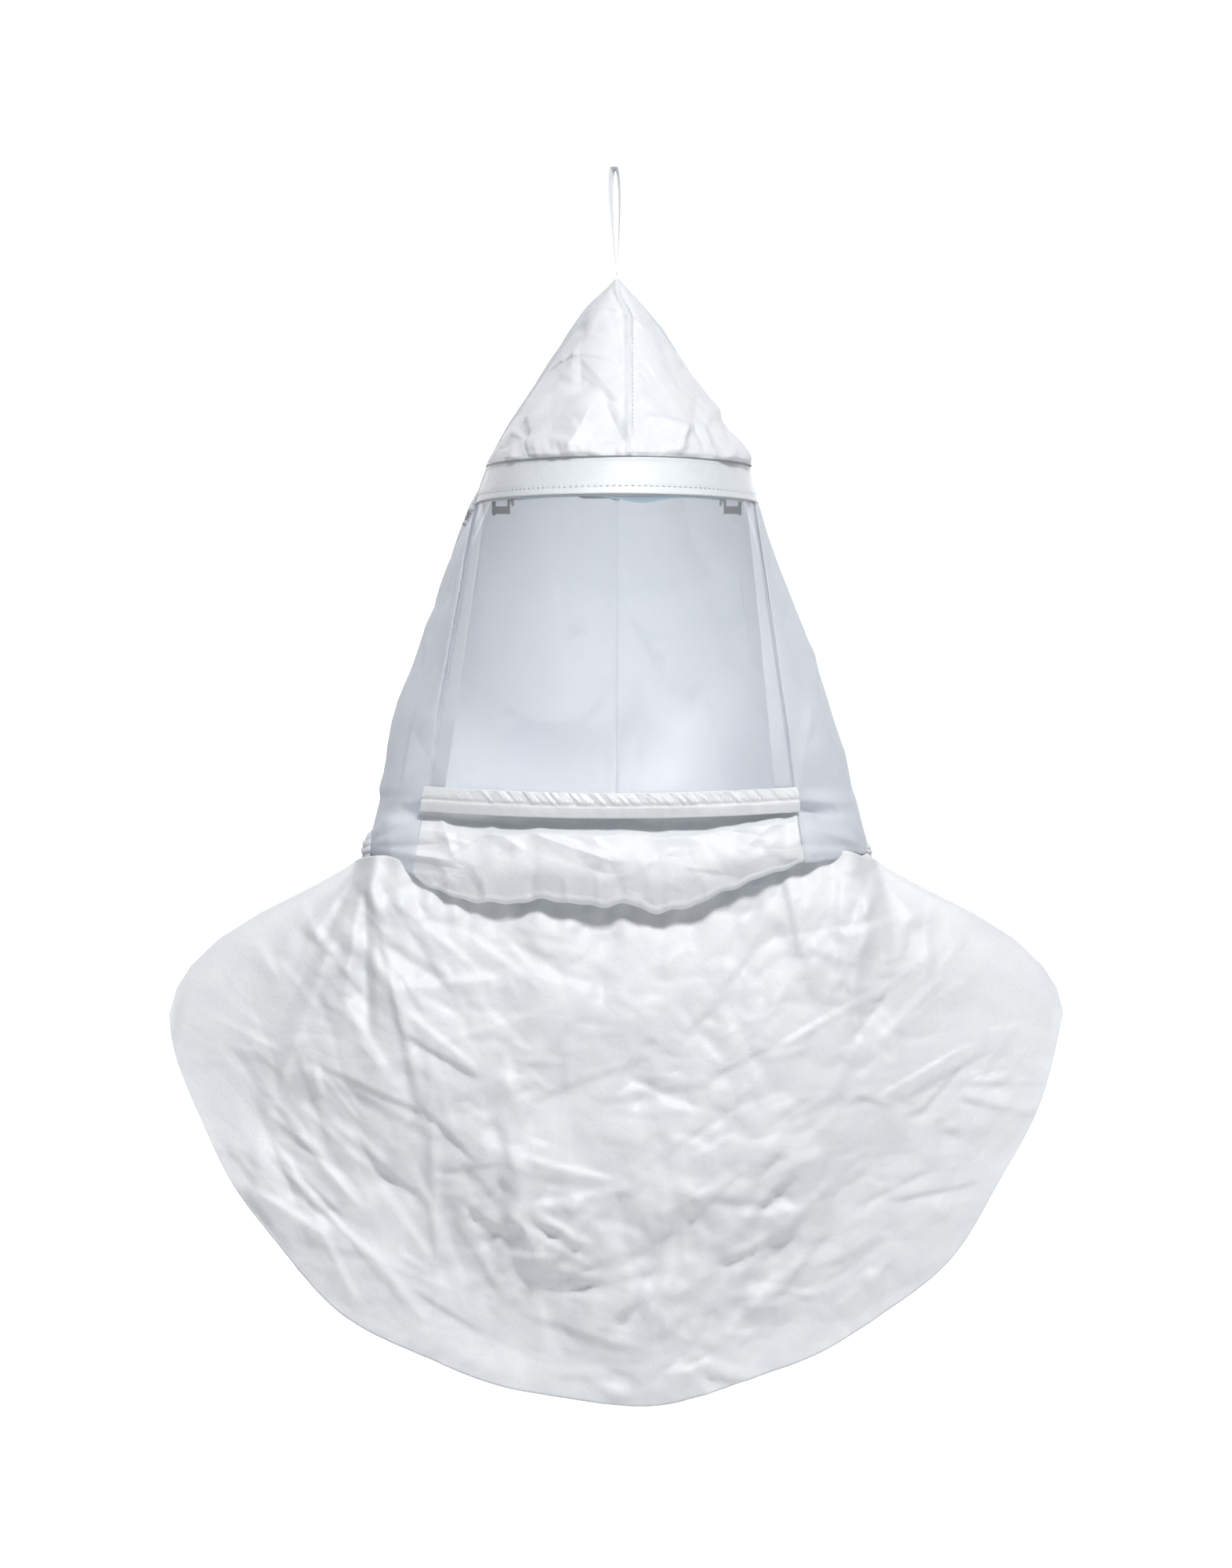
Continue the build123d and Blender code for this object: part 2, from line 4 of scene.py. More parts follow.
import bmesh
import bpy
import numpy as np
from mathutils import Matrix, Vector


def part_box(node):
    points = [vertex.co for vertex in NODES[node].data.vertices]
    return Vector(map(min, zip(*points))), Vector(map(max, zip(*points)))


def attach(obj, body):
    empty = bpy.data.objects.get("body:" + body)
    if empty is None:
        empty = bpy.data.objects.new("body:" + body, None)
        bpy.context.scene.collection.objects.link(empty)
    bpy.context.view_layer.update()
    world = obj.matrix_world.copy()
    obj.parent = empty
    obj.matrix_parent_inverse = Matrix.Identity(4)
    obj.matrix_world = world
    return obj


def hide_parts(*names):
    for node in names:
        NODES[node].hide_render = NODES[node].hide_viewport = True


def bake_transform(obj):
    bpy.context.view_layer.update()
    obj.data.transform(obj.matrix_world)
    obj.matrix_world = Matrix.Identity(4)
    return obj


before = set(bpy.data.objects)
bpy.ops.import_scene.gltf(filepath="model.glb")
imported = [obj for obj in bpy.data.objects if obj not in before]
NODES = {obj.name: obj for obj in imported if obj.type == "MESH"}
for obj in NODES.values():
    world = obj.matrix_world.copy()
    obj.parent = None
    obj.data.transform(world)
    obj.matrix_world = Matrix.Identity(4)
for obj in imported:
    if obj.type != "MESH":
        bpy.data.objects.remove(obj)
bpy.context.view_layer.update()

MM = 0.001

# ---------------------------------------------------------------- driving sizes, from the frame, in mm
def node_box(name):
    """Lowest and highest corners of a CAD node, in mm."""
    low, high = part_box(name)
    return [v / MM for v in low], [v / MM for v in high]


BROW_LOW, BROW_HIGH = node_box("brow_band")
LOOP_LOW, LOOP_HIGH = node_box("hang_loop")

APEX_Z = node_box("crown_left")[1][2]
BROW_TOP = BROW_HIGH[2]
BROW_BOTTOM = BROW_LOW[2]
LENS_BOTTOM = node_box("lens")[0][2]
NECK_FRONT_Z = node_box("chin_panel")[0][2]
NECK_SIDE_Z = NECK_FRONT_Z + 38.0
CLOTH = 0.35
BRIM = 4.0                      # how far the crown's cloth hangs over the brow band's top edge
SEAM_SHIFT = 9.0                # how far the hanging crown's front seam lies off the middle

# Heights with the hood's half widths at left and right, and its half depth. The cloth hangs a little askew.
HEIGHTS = [APEX_Z, -100.0, -124.0, -160.0, -196.0, -214.0, -226.0, -258.0, -304.0, -340.0, -388.0,
           -424.0, -448.0, -484.0, -508.0, -530.0, -570.0]
HALF_LEFT = [1.5, 13.0, 30.0, 56.0, 80.0, 90.0, 96.0, 107.0, 126.0, 138.0, 154.0, 167.0, 173.0, 181.0,
             187.0, 191.0, 191.0]
HALF_RIGHT = [1.5, 14.0, 33.0, 58.0, 82.0, 94.0, 100.0, 107.5, 121.0, 133.0, 151.0, 164.0, 174.0, 183.0,
              189.0, 194.0, 194.0]
HALF_DEPTH = [1.5, 17.0, 38.0, 70.0, 104.0, 118.0, 126.0, 134.0, 131.0, 127.0, 117.0, 107.0, 98.0, 82.0,
              70.0, 58.0, 36.0]

NECK_ARC = 504.0                # radius of the arc that the neck line follows, seen from the front
NECK_LEFT, NECK_RIGHT = HALF_LEFT[-1], HALF_RIGHT[-1]
PINCH_LEFT, PINCH_RIGHT = (-192, -529), (196, -529)     # where the drawstring bunches the neck
HEM_CENTRE_Z = -600.0           # the cape's round hem is struck from this height
HEM_RADIUS = {-1: 344.0, 1: 336.0}                      # front and back
HEM_SHIFT = {-1: 0.0, 1: -2.0}
HEM_HALF_TURN = 82.0            # degrees from the middle of the hem to its end
CAPE_HALF_TOP = 341.0
WORD = {-1: "left", 1: "right"}

SEED = 7


# ---------------------------------------------------------------- numbers: noise and creases
def value_noise(u, v, seed, cells=64):
    """Smooth random field from -1 to 1."""
    table = np.random.default_rng(seed).uniform(-1, 1, (cells, cells))
    iu = np.floor(u).astype(int)
    iv = np.floor(v).astype(int)
    fu = u - iu
    fv = v - iv
    fu = fu * fu * (3 - 2 * fu)
    fv = fv * fv * (3 - 2 * fv)
    a = table[iu % cells, iv % cells]
    b = table[(iu + 1) % cells, iv % cells]
    c = table[iu % cells, (iv + 1) % cells]
    d = table[(iu + 1) % cells, (iv + 1) % cells]
    return (a * (1 - fu) + b * fu) * (1 - fv) + (c * (1 - fu) + d * fu) * fv


def fold(x, z, start, end, height, width, other=None, sharp=1.4):
    """One fold along a straight line: a crest that falls off over width on one side and other on the other."""
    x0, z0 = start
    x1, z1 = end
    length = math.hypot(x1 - x0, z1 - z0)
    ux, uz = (x1 - x0) / length, (z1 - z0) / length
    along = (x - x0) * ux + (z - z0) * uz
    side = (x - x0) * -uz + (z - z0) * ux
    reach = np.where(side > 0, width, other or width)
    crest = np.clip(1 - np.abs(side) / reach, 0, 1) ** sharp
    ends = np.clip(np.minimum(along, length - along) / (0.3 * length) + 0.25, 0, 1)
    ends = ends * ends * (3 - 2 * ends) * (along > -0.1 * length) * (along < 1.1 * length)
    return height * crest * ends


def swell(x, z, start, end, height, width):
    """Broad soft rise along a line."""
    x0, z0 = start
    x1, z1 = end
    length = math.hypot(x1 - x0, z1 - z0)
    ux, uz = (x1 - x0) / length, (z1 - z0) / length
    along = np.clip((x - x0) * ux + (z - z0) * uz, 0, length)
    reach = np.hypot(x - x0 - along * ux, z - z0 - along * uz)
    return height * np.exp(-(reach / width) ** 2)


def ridges(u, v, seed):
    """Curved creases, from 0 in the creases to 1 between them."""
    bend = 0.45 * value_noise(u * 0.7 + 11, v * 0.7, seed + 100)
    field = value_noise(u + bend, v - bend, seed)
    return np.abs(field) ** 0.7


def crumple(x, z, seed, count, area, height, length, slant=None, spread=90.0):
    """Sharp finite creases scattered over an area, like paper that was folded away and shaken out."""
    rng = np.random.default_rng(seed)
    total = np.zeros_like(x)
    (x_low, z_low), (x_high, z_high) = area
    for _ in range(count):
        cx = rng.uniform(x_low, x_high)
        cz = rng.uniform(z_low, z_high)
        turn = math.radians(rng.normal(slant, spread) if slant is not None else rng.uniform(0, 180))
        half = 0.5 * length * rng.uniform(0.35, 1.3)
        dx, dz = half * math.cos(turn), half * math.sin(turn)
        rise = height * rng.uniform(0.3, 1.0) * rng.choice((-1.0, 1.0))
        near, far = rng.uniform(3.0, 8.0), rng.uniform(10.0, 26.0)
        total += fold(x, z, (cx - dx, cz - dz), (cx + dx, cz + dz), rise, near, far, sharp=1.2)
    return total


# ---------------------------------------------------------------- mesh helpers
def grid_mesh(name, points, closed=False):
    """Object from a (rows, columns, 3) array in mm."""
    rows, columns = points.shape[:2]
    index = np.arange(rows * columns).reshape(rows, columns)
    if closed:
        index = np.concatenate([index, index[:, :1]], axis=1)
    quads = np.stack([index[:-1, :-1], index[1:, :-1], index[1:, 1:], index[:-1, 1:]], axis=-1).reshape(-1, 4)
    mesh = bpy.data.meshes.new(name)
    mesh.from_pydata((points.reshape(-1, 3) * MM).tolist(), [], quads.tolist())
    mesh.update()
    for polygon in mesh.polygons:
        polygon.use_smooth = True
    piece = bpy.data.objects.new(name, mesh)
    bpy.context.scene.collection.objects.link(piece)
    return piece


def thicken(piece, thickness, offset=-1.0):
    """Real thickness with a rim."""
    modifier = piece.modifiers.new("ply", "SOLIDIFY")
    modifier.thickness = thickness * MM
    modifier.offset = offset
    modifier.use_even_offset = False
    apply_modifiers(piece)


def apply_modifiers(piece):
    """Replace a piece's mesh by what its modifiers make."""
    depsgraph = bpy.context.evaluated_depsgraph_get()
    mesh = bpy.data.meshes.new_from_object(piece.evaluated_get(depsgraph))
    piece.modifiers.clear()
    old = piece.data
    piece.data = mesh
    bpy.data.meshes.remove(old)
    for polygon in piece.data.polygons:
        polygon.use_smooth = True


def finish_piece(piece, material, body, slot, *nodes):
    """Give a piece its material and body, and hide the nodes it stands for. The slot is not used."""
    piece.data.materials.clear()
    piece.data.materials.append(material)
    if body:
        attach(piece, body)
    if nodes:
        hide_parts(*nodes)


# ---------------------------------------------------------------- the hood's surface
def at_height(z, sizes):
    """One of the hood's half sizes, from the list that goes with HEIGHTS, at a height."""
    return np.interp(-z, [-h for h in HEIGHTS], sizes)


def neck_z(x):
    """Height of the neck line at a distance from the middle, an arc that sags at the middle."""
    return NECK_FRONT_Z + NECK_ARC - np.sqrt(NECK_ARC ** 2 - np.clip(x, -NECK_ARC, NECK_ARC) ** 2)


# Where the hood's cloth rolls under above the gathered neck, seen from the front: distance and height.
ROLL_LINE = [(-192, -524), (-178, -528), (-150, -545), (-122, -559), (-87, -563), (-52, -559), (-15, -565),
             (12, -562), (28, -571), (55, -565), (82, -553), (108, -543), (135, -533), (194, -523)]


def roll_z(x):
    """Height of the rolled edge at a distance from the middle."""
    xs = [knot[0] for knot in ROLL_LINE]
    zs = [knot[1] for knot in ROLL_LINE]
    blur = sum(np.interp(x + step, xs, zs) for step in (-8, -4, 0, 4, 8)) / 5
    return blur + 0.8 * np.sin(x / 5.3) + 0.6 * np.sin(x / 3.1 + 1)


def middle_share(x):
    """1 at the middle of the hood and 0 at the pinched sides."""
    return np.clip(1 - (x / 188.0) ** 2, 0, 1)


def hood_shell(angle, z, grow=0.0):
    """Points of the hood's smooth surface. Angle is in radians about Z: -pi/2 is the front."""
    left = at_height(z, HALF_LEFT)
    right = at_height(z, HALF_RIGHT)
    depth = at_height(z, HALF_DEPTH)
    cosine, sine = np.cos(angle), np.sin(angle)
    half = np.where(cosine > 0, right, left)
    return np.stack([(half + grow) * cosine, (depth + grow) * sine, z], axis=-1)


def outward(angle, z):
    """Unit vector out of the hood's surface, level."""
    step = 0.01
    a = hood_shell(angle - step, z)
    b = hood_shell(angle + step, z)
    along = b - a
    normal = np.stack([along[..., 1], -along[..., 0], np.zeros_like(z)], axis=-1)
    return normal / np.maximum(np.linalg.norm(normal, axis=-1, keepdims=True), 1e-9)


def lens_edge(z, side):
    """Angle of the lens's side seam at a height: side -1 is left, 1 is right."""
    share = np.clip((BROW_BOTTOM - z) / (BROW_BOTTOM - LENS_BOTTOM), 0.0, 1.4)
    if side < 0:
        wanted = 105.0 + share * 40.0
        half = at_height(z, HALF_LEFT)
    else:
        wanted = 104.0 + share * 31.0
        half = at_height(z, HALF_RIGHT)
    edge = np.arccos(np.clip(wanted / half, -1, 0.995))
    return -edge if side > 0 else -math.pi + edge


def seam_x(z):
    """Distance of the crown's front seam from the middle at a height."""
    return SEAM_SHIFT * smooth_step((APEX_Z - 8 - z) / 26.0)


def seam_angle(z):
    """Angle of the crown's front seam at a height."""
    half = at_height(z, HALF_RIGHT)
    return -np.arccos(np.clip(seam_x(z) / half, -1, 1))


def crown_relief(x, y, z):
    """Folds of the crown: tent folds over the brow band and a fan of gathers at the right."""
    front = np.clip(-y / 20.0, 0, 1)
    h = crumple(x, z, SEED + 1, 60, ((-100, -262), (100, -90)), 2.2, 60, 70, 40)
    h += crumple(x + y, z, SEED + 2, 70, ((-200, -262), (200, -90)), 1.5, 40)
    h += front * fold(x, z, (-13, -181), (-33, -226), 7.5, 9, 22)
    h += front * fold(x, z, (-13, -181), (8, -226), -6.0, 8, 18)
    h += front * fold(x, z, (50, -202), (42, -228), 6.0, 7, 16)
    h += front * fold(x, z, (18, -198), (54, -204), 4.5, 5, 15)
    h += front * fold(x, z, (-22, -115), (-53, -172), -5.0, 8, 28)
    h += front * fold(x, z, (-50, -180), (-80, -214), 4.0, 8, 18)
    h += front * fold(x, z, (60, -150), (78, -196), 4.0, 8, 16)
    for i in range(9):
        start = (58 + 5.5 * i, -198 - 2.0 * (i % 3))
        h += front * fold(x, z, start, (start[0] + 6 + i, -228), 2.2 if i % 2 else -1.6, 3.0, 5.0)
    for i in range(14):
        start = (-86 + 9.5 * i, -216)
        h += front * fold(x, z, start, (start[0] + 3, -232), 0.9 if i % 2 else -0.9, 3.0, 4.5)
    return h


def side_relief(x, y, z):
    """Folds of the side and back panels: long soft falls, and tension folds into the neck."""
    s = np.arctan2(y, x) * 130.0
    h = 4.2 * value_noise(s / 46.0, z / 120.0 + 5, SEED + 3)
    h += 3.2 * ridges(s / 34.0, z / 70.0, SEED + 9)
    h += crumple(s, z, SEED + 4, 150, ((-420, -540), (420, -90)), 1.6, 70, 80, 35)
    h += crumple(s, z, SEED + 5, 150, ((-420, -540), (420, -90)), 1.0, 34)
    near_neck = np.clip((z + 440) / -100.0, 0, 1) ** 1.5 * np.clip(y / 20.0, 0, 1)
    h += near_neck * 3.2 * np.sin(s / 9.5 + 1.6 * value_noise(s / 40.0, z / 60.0, SEED + 6))
    return h


def drape_relief(x, z):
    """Folds of the front cloth below the lens, from pinch to pinch. Positive is forward."""
    area = ((-185, -580), (185, -485))
    h = crumple(x, z, SEED + 7, 80, area, 1.2, 50, 160, 40)
    h += crumple(x, z, SEED + 8, 60, area, 0.9, 26)
    h += 1.3 * ridges(x / 38.0, z / 24.0, SEED + 14)
    h += fold(x, z, (-130, -498), (-60, -505), -3.5, 6, 9)
    h += fold(x, z, (-100, -500), (-70, -522), 3.5, 6, 10)
    h += fold(x, z, (-66, -508), (0, -531), 4.5, 6, 12)
    h += fold(x, z, (-20, -512), (6, -532), 2.6, 5, 10)
    h += fold(x, z, (128, -494), (92, -522), 3.2, 7, 12)
    h += fold(x, z, (60, -503), (112, -512), -3.0, 6, 12)
    h += fold(x, z, (134, -486), (138, -524), 3.2, 5, 9)
    h += fold(x, z, (-134, -492), (-122, -530), 2.8, 6, 9)
    fan_z = -521
    for side, x0 in ((-1, -190), (1, 192)):
        for k, (reach, rise) in enumerate(((60, 4), (66, -8), (74, -16), (52, 18), (58, 34), (46, 52))):
            height = 2.6 if k % 2 else -2.2
            h += fold(x, z, (x0, fan_z + rise * 0.1), (x0 - side * reach, fan_z + rise), height, 5, 9)
    for k in range(12):
        x0 = -150 + 27 * k + 6 * math.sin(5 * k)
        h += fold(x, z, (x0, -575), (x0 + 5 * math.sin(3 * k), -540), 1.8 if k % 3 else -1.6, 5, 10)
    return h


def neck_drape(x, z, foot):
    """How far the front cloth stands ahead of the smooth shell between the lens and the roll."""
    share = np.clip((LENS_BOTTOM - z) / np.maximum(LENS_BOTTOM - foot, 1.0), 0, 1)
    hollow = -16.0 * np.sin(math.pi * np.clip(share / 0.36, 0, 1)) * middle_share(x)
    belly = 27.0 * smooth_step((share - 0.16) / 0.66) * middle_share(x) ** 0.6
    return hollow + belly


def panel_points(angle, share, top, relief):
    """Cloth from a top height down to the neck, with its roll at the front. Shares over 1 are the roll."""
    down = np.clip(share, 0, 1)
    z = top + down * (NECK_FRONT_Z + 20 - top)
    for _ in range(5):
        base = hood_shell(angle, z)
        x = base[..., 0]
        front = smooth_step(-np.sin(angle) / 0.12)
        radius = 1.0 + 6.0 * middle_share(x) * front
        foot = front * (roll_z(x) + radius) + (1 - front) * (neck_z(x) - 3.0)
        z = top + down * (foot - top)
    base = hood_shell(angle, z)
    x, y = base[..., 0], base[..., 1]
    low = smooth_step((LENS_BOTTOM + 3 - z) / 6.0)
    points = base + outward(angle, z) * relief(x, y, z)[..., None]
    ahead = front * low * (neck_drape(x, z, foot) + drape_relief(x, z))
    points[..., 1] -= ahead
    turn = math.pi * np.clip((share - 1) / 0.1, 0, 1)
    rest = np.clip((share - 1.1) / 0.06, 0, 1)
    under = radius * (1 - np.cos(turn))
    points[..., 1] += front * (under + rest * np.maximum(-36.0 - points[..., 1] - under, 0) * middle_share(x))
    points[..., 2] += front * (-radius * np.sin(turn) + rest * 4.0)
    return points


def hood_cloth(name, left, right, top, bottom, relief, rows, columns, grow=0.0):
    """Cloth between two side edges, each an angle or a function of height, and two heights."""
    v = np.linspace(0, 1, rows)[:, None] * np.ones((1, columns))
    u = np.linspace(0, 1, columns)[None, :] * np.ones((rows, 1))
    z = top + v * (bottom - top)
    a = left(z) if callable(left) else left
    b = right(z) if callable(right) else right
    angle = a + u * (b - a)
    base = hood_shell(angle, z, grow)
    lift = relief(base[..., 0], base[..., 1], z)
    points = base + outward(angle, z) * lift[..., None]
    return grid_mesh(name, points)


def smooth_step(t):
    """0 to 1 with level ends."""
    t = np.clip(t, 0, 1)
    return t * t * (3 - 2 * t)


def make_crown(side):
    """Half of the crown, closing at the tip and hanging a little over the brow band."""
    def relief(x, y, z):
        low = smooth_step((BROW_TOP + 26 - z) / 24.0)
        over = 5.5 * low * np.clip(-y / 40.0, 0, 1) * (1 - smooth_step((BROW_TOP - 1 - z) / 5.0) * 0.8)
        gap = np.abs(x - seam_x(z))
        seam = 1.3 * np.exp(-(gap / 1.6) ** 2) * (z < APEX_Z - 10) - 1.2 * np.exp(-((gap - 4) / 2.2) ** 2)
        tip = smooth_step((APEX_Z - z) / 25.0)
        depth = at_height(z, HALF_DEPTH)
        shut = smooth_step(-y / (0.14 * depth))
        lift = (crown_relief(x, y, z) * tip + over) * shut + seam * np.clip(-y / 10.0, 0, 1)
        over_band = smooth_step((BROW_TOP + 10 - z) / 6.0) * smooth_step(-y / 12.0)
        return np.maximum(lift, 3.1 * over_band) * over_band + lift * (1 - over_band)
    a, b = (-math.pi, seam_angle) if side < 0 else (seam_angle, 0.0)
    piece = hood_cloth("crown_painted_shade_cloth_" + WORD[side], a, b, APEX_Z, BROW_TOP - BRIM, relief, 150, 110)
    return piece


def make_side_panel(side):
    """Back and side cloth on one side: up the back to the tip, and round to the lens's side seam."""
    rows, columns = 240, 150
    v = np.linspace(0, 1.16, rows)[:, None] * np.ones((1, columns))
    u = np.linspace(0, 1, columns)[None, :] * np.ones((rows, 1))
    z = APEX_Z + np.clip(v, 0, 1) * (NECK_SIDE_Z - APEX_Z)
    flat_side = 0.0 if side > 0 else -math.pi
    back = math.pi / 2 if side > 0 else -1.5 * math.pi
    reach = smooth_step((BROW_TOP - 8 - z) / 22.0)
    edge = flat_side + reach * (lens_edge(z, side) - flat_side)
    angle = edge + u * (back - edge)

    def relief(x, y, z):
        tip = smooth_step((APEX_Z - z) / 25.0)
        gap = np.clip(np.abs(x), 0, 30)
        seam = 1.2 * np.exp(-(gap / 1.8) ** 2) - 0.9 * np.exp(-((gap - 4.5) / 2.4) ** 2)
        high = 1 - smooth_step((LENS_BOTTOM + 12 - z) / 12.0) * (y < 0)
        return side_relief(x, y, z) * tip * smooth_step(u / 0.05) * high + seam * (y > 20)
    return grid_mesh("side_cloth_" + WORD[side], panel_points(angle, v, APEX_Z, relief))


def make_chin_panel():
    """Cloth under the lens. It bags forward and rolls under above the neck."""
    rows, columns = 130, 230
    v = np.linspace(0, 1.16, rows)[:, None] * np.ones((1, columns))
    u = np.linspace(0, 1, columns)[None, :] * np.ones((rows, 1))
    z = LENS_BOTTOM - 1 + np.clip(v, 0, 1) * (NECK_FRONT_Z + 20 - LENS_BOTTOM)
    left, right = lens_edge(z, -1), lens_edge(z, 1)
    angle = left + u * (right - left)
    return grid_mesh("chin_cloth", panel_points(angle, v, LENS_BOTTOM - 1, lambda x, y, z: np.zeros_like(x)))


# ---------------------------------------------------------------- the cape
def shoulder_z(x):
    """Height of the cape's top edge: the neck's arc, then down along the shoulder."""
    reach = np.abs(x)
    slope = np.interp(reach, [198, 232, 272, 304, 326, 337, 343], [-531, -550, -570, -590, -611, -628, -650])
    blend = smooth_step((reach - 150) / 60.0)
    return (roll_z(np.clip(x, -192, 194)) + 7.0) * (1 - blend) + slope * blend


def cape_relief(x, z, side):
    """The cape's folds: radiating from the neck pinches, one long crease, and paper-like crumples."""
    h = 7.0 * value_noise(x / 110.0 + 3, z / 150.0 + 1, SEED + 10 + side)
    h += 3.0 * value_noise(x / 45.0, z / 55.0, SEED + 12 + side)
    h += 4.4 * ridges(x / 62.0 + 2, z / 62.0, SEED + 15 + side)
    h += 1.9 * ridges(x / 27.0, z / 27.0 + 4, SEED + 17 + side)
    h += 0.9 * ridges(x / 12.0, z / 12.0 + 4, SEED + 19 + side)
    h += swell(x, z, (-285, -700), (-70, -880), -16.0, 46)
    h += swell(x, z, (-160, -640), (-60, -800), 6.0, 40)
    h += swell(x, z, (250, -700), (120, -880), -9.0, 45)
    h += swell(x, z, (120, -640), (40, -780), 5.0, 45)
    area = ((-350, -950), (350, -530))
    h += crumple(x, z, SEED + 20 + side, 150, area, 3.4, 90, None)
    h += crumple(x, z, SEED + 30 + side, 110, ((-340, -900), (-60, -560)), 3.8, 70, -48, 14)
    h += crumple(x, z, SEED + 40 + side, 90, ((40, -900), (340, -560)), 2.8, 70, 50, 18)
    h += crumple(x, z, SEED + 50 + side, 110, ((-120, -930), (140, -740)), 3.6, 55, 55, 45)
    h += crumple(x, z, SEED + 60 + side, 240, area, 2.2, 32, None)
    for end, height, near, far in (((-235, -592), 4.0, 8, 16), ((-262, -664), -4.5, 9, 22),
                                   ((-271, -736), 4.0, 8, 26), ((-205, -640), 5.0, 9, 18),
                                   ((-188, -664), -9.0, 8, 16), ((-148, -712), 5.5, 9, 24),
                                   ((-145, -760), -3.5, 8, 20), ((-120, -640), -3.0, 8, 18)):
        h += fold(x, z, PINCH_LEFT, end, height, near, far)
    for end, height, near, far in (((179, -575), -6.0, 8, 14), ((230, -580), 3.5, 8, 16),
                                   ((255, -660), -3.5, 9, 26), ((170, -680), 4.0, 10, 30),
                                   ((215, -700), 3.0, 9, 26), ((120, -620), -2.5, 9, 22)):
        h += fold(x, z, PINCH_RIGHT, end, height, near, far)
    h += fold(x, z, (-140, -670), (-137, -880), 4.0, 5, 18)
    h += fold(x, z, (-292, -596), (-338, -640), -5.0, 8, 16)
    h += fold(x, z, (262, -566), (341, -655), -6.0, 9, 30)
    h += fold(x, z, (-16, -802), (20, -860), 4.0, 6, 16)
    h += fold(x, z, (20, -860), (44, -800), -4.0, 6, 14)
    h += fold(x, z, (20, -860), (-30, -900), 3.5, 6, 16)
    h += fold(x, z, (20, -860), (60, -905), 3.0, 6, 16)
    h += fold(x, z, (-260, -720), (-190, -800), 4.5, 8, 20)
    h += fold(x, z, (-285, -700), (-240, -800), -3.5, 8, 18)
    return h


def make_cape(side):
    """One cape panel: rows run from the top edge to the round hem."""
    rows, columns = 175, 290
    radius = HEM_RADIUS[side]
    v = np.linspace(0, 1, rows)[:, None] * np.ones((1, columns))
    u = np.linspace(-1, 1, columns)[None, :] * np.ones((rows, 1))
    spread = np.sign(u) * np.abs(u) ** 0.9
    top_x = spread * CAPE_HALF_TOP
    top_z = shoulder_z(top_x)
    turn = spread * math.radians(HEM_HALF_TURN)
    wave = 1 + 0.006 * np.sin(9 * turn + 1) + 0.004 * np.sin(17 * turn)
    hem_x = radius * np.sin(turn) * wave + HEM_SHIFT[side]
    hem_z = HEM_CENTRE_Z - radius * np.cos(turn) * wave
    x = top_x + v * (hem_x - top_x)
    z = top_z + v * (hem_z - top_z)
    rim = smooth_step((np.abs(x) - 150) / 190.0) * smooth_step((z + 700) / 60.0)
    depth = np.interp(-z, [520, 548, 580, 620, 800, 955], [50, 50, 46, 41, 33, 26])
    shoulder = smooth_step((np.abs(top_x) - 180) / 22.0) * (1 - smooth_step((top_z - z) / 80.0))
    y = side * depth * np.clip(1 - (x / 365.0) ** 2, 0.02, 1) * (1 - 0.9 * rim) * (1 - shoulder)
    calm = smooth_step((top_z - z) / 30.0 + 0.08)
    joined = 1 - 0.85 * rim
    belly = 30.0 * (1 - np.clip(np.hypot(x / 330.0, (z + 665) / 285.0), 0, 1) ** 2.6) - 12.0
    belly = belly * smooth_step((top_z - z) / (40.0 + 60.0 * middle_share(x)))
    relief = (cape_relief(x, z, side) * calm + belly) * joined
    gather = 2.2 * np.sin(x / 3.4 + 0.9 * np.sin(x / 19.0)) * (1 - smooth_step((top_z - z) / 46.0))
    gather = gather * (np.abs(x) < 195)
    y = y + side * (relief + gather)
    free = smooth_step((top_z - z) / 40.0) * smooth_step((1 - np.abs(u)) / 0.08)
    soft = 0.4 + 6.6 * free
    y = side * (1.0 + soft * np.logaddexp(0.0, (side * y - 1.0) / soft))
    return grid_mesh("cape_cloth_" + ("front" if side < 0 else "back"), np.stack([x, y, z], axis=-1))


# ---------------------------------------------------------------- materials
def new_material(name):
    """Empty node material with its output."""
    material = bpy.data.materials.new(name)
    material.use_nodes = True
    material.node_tree.nodes.clear()
    return material, material.node_tree.nodes, material.node_tree.links


def noise_node(nodes, links, coord, scale, detail=4.0, roughness=0.55, distortion=0.0):
    """Noise texture in object space."""
    node = nodes.new("ShaderNodeTexNoise")
    node.inputs["Scale"].default_value = scale
    node.inputs["Detail"].default_value = detail
    node.inputs["Roughness"].default_value = roughness
    node.inputs["Distortion"].default_value = distortion
    links.new(coord.outputs["Object"], node.inputs["Vector"])
    return node


def ramp_node(nodes, links, source, stops):
    """Colour ramp fed by a factor."""
    node = nodes.new("ShaderNodeValToRGB")
    node.color_ramp.elements[0].position = stops[0][0]
    node.color_ramp.elements[0].color = (*stops[0][1], 1)
    node.color_ramp.elements[1].position = stops[-1][0]
    node.color_ramp.elements[1].color = (*stops[-1][1], 1)
    for position, colour in stops[1:-1]:
        element = node.color_ramp.elements.new(position)
        element.color = (*colour, 1)
    links.new(source, node.inputs["Fac"])
    return node


def bump_node(nodes, links, source, strength, distance, normal=None):
    """Bump from a height."""
    node = nodes.new("ShaderNodeBump")
    node.inputs["Strength"].default_value = strength
    node.inputs["Distance"].default_value = distance
    links.new(source, node.inputs["Height"])
    if normal is not None:
        links.new(normal, node.inputs["Normal"])
    return node


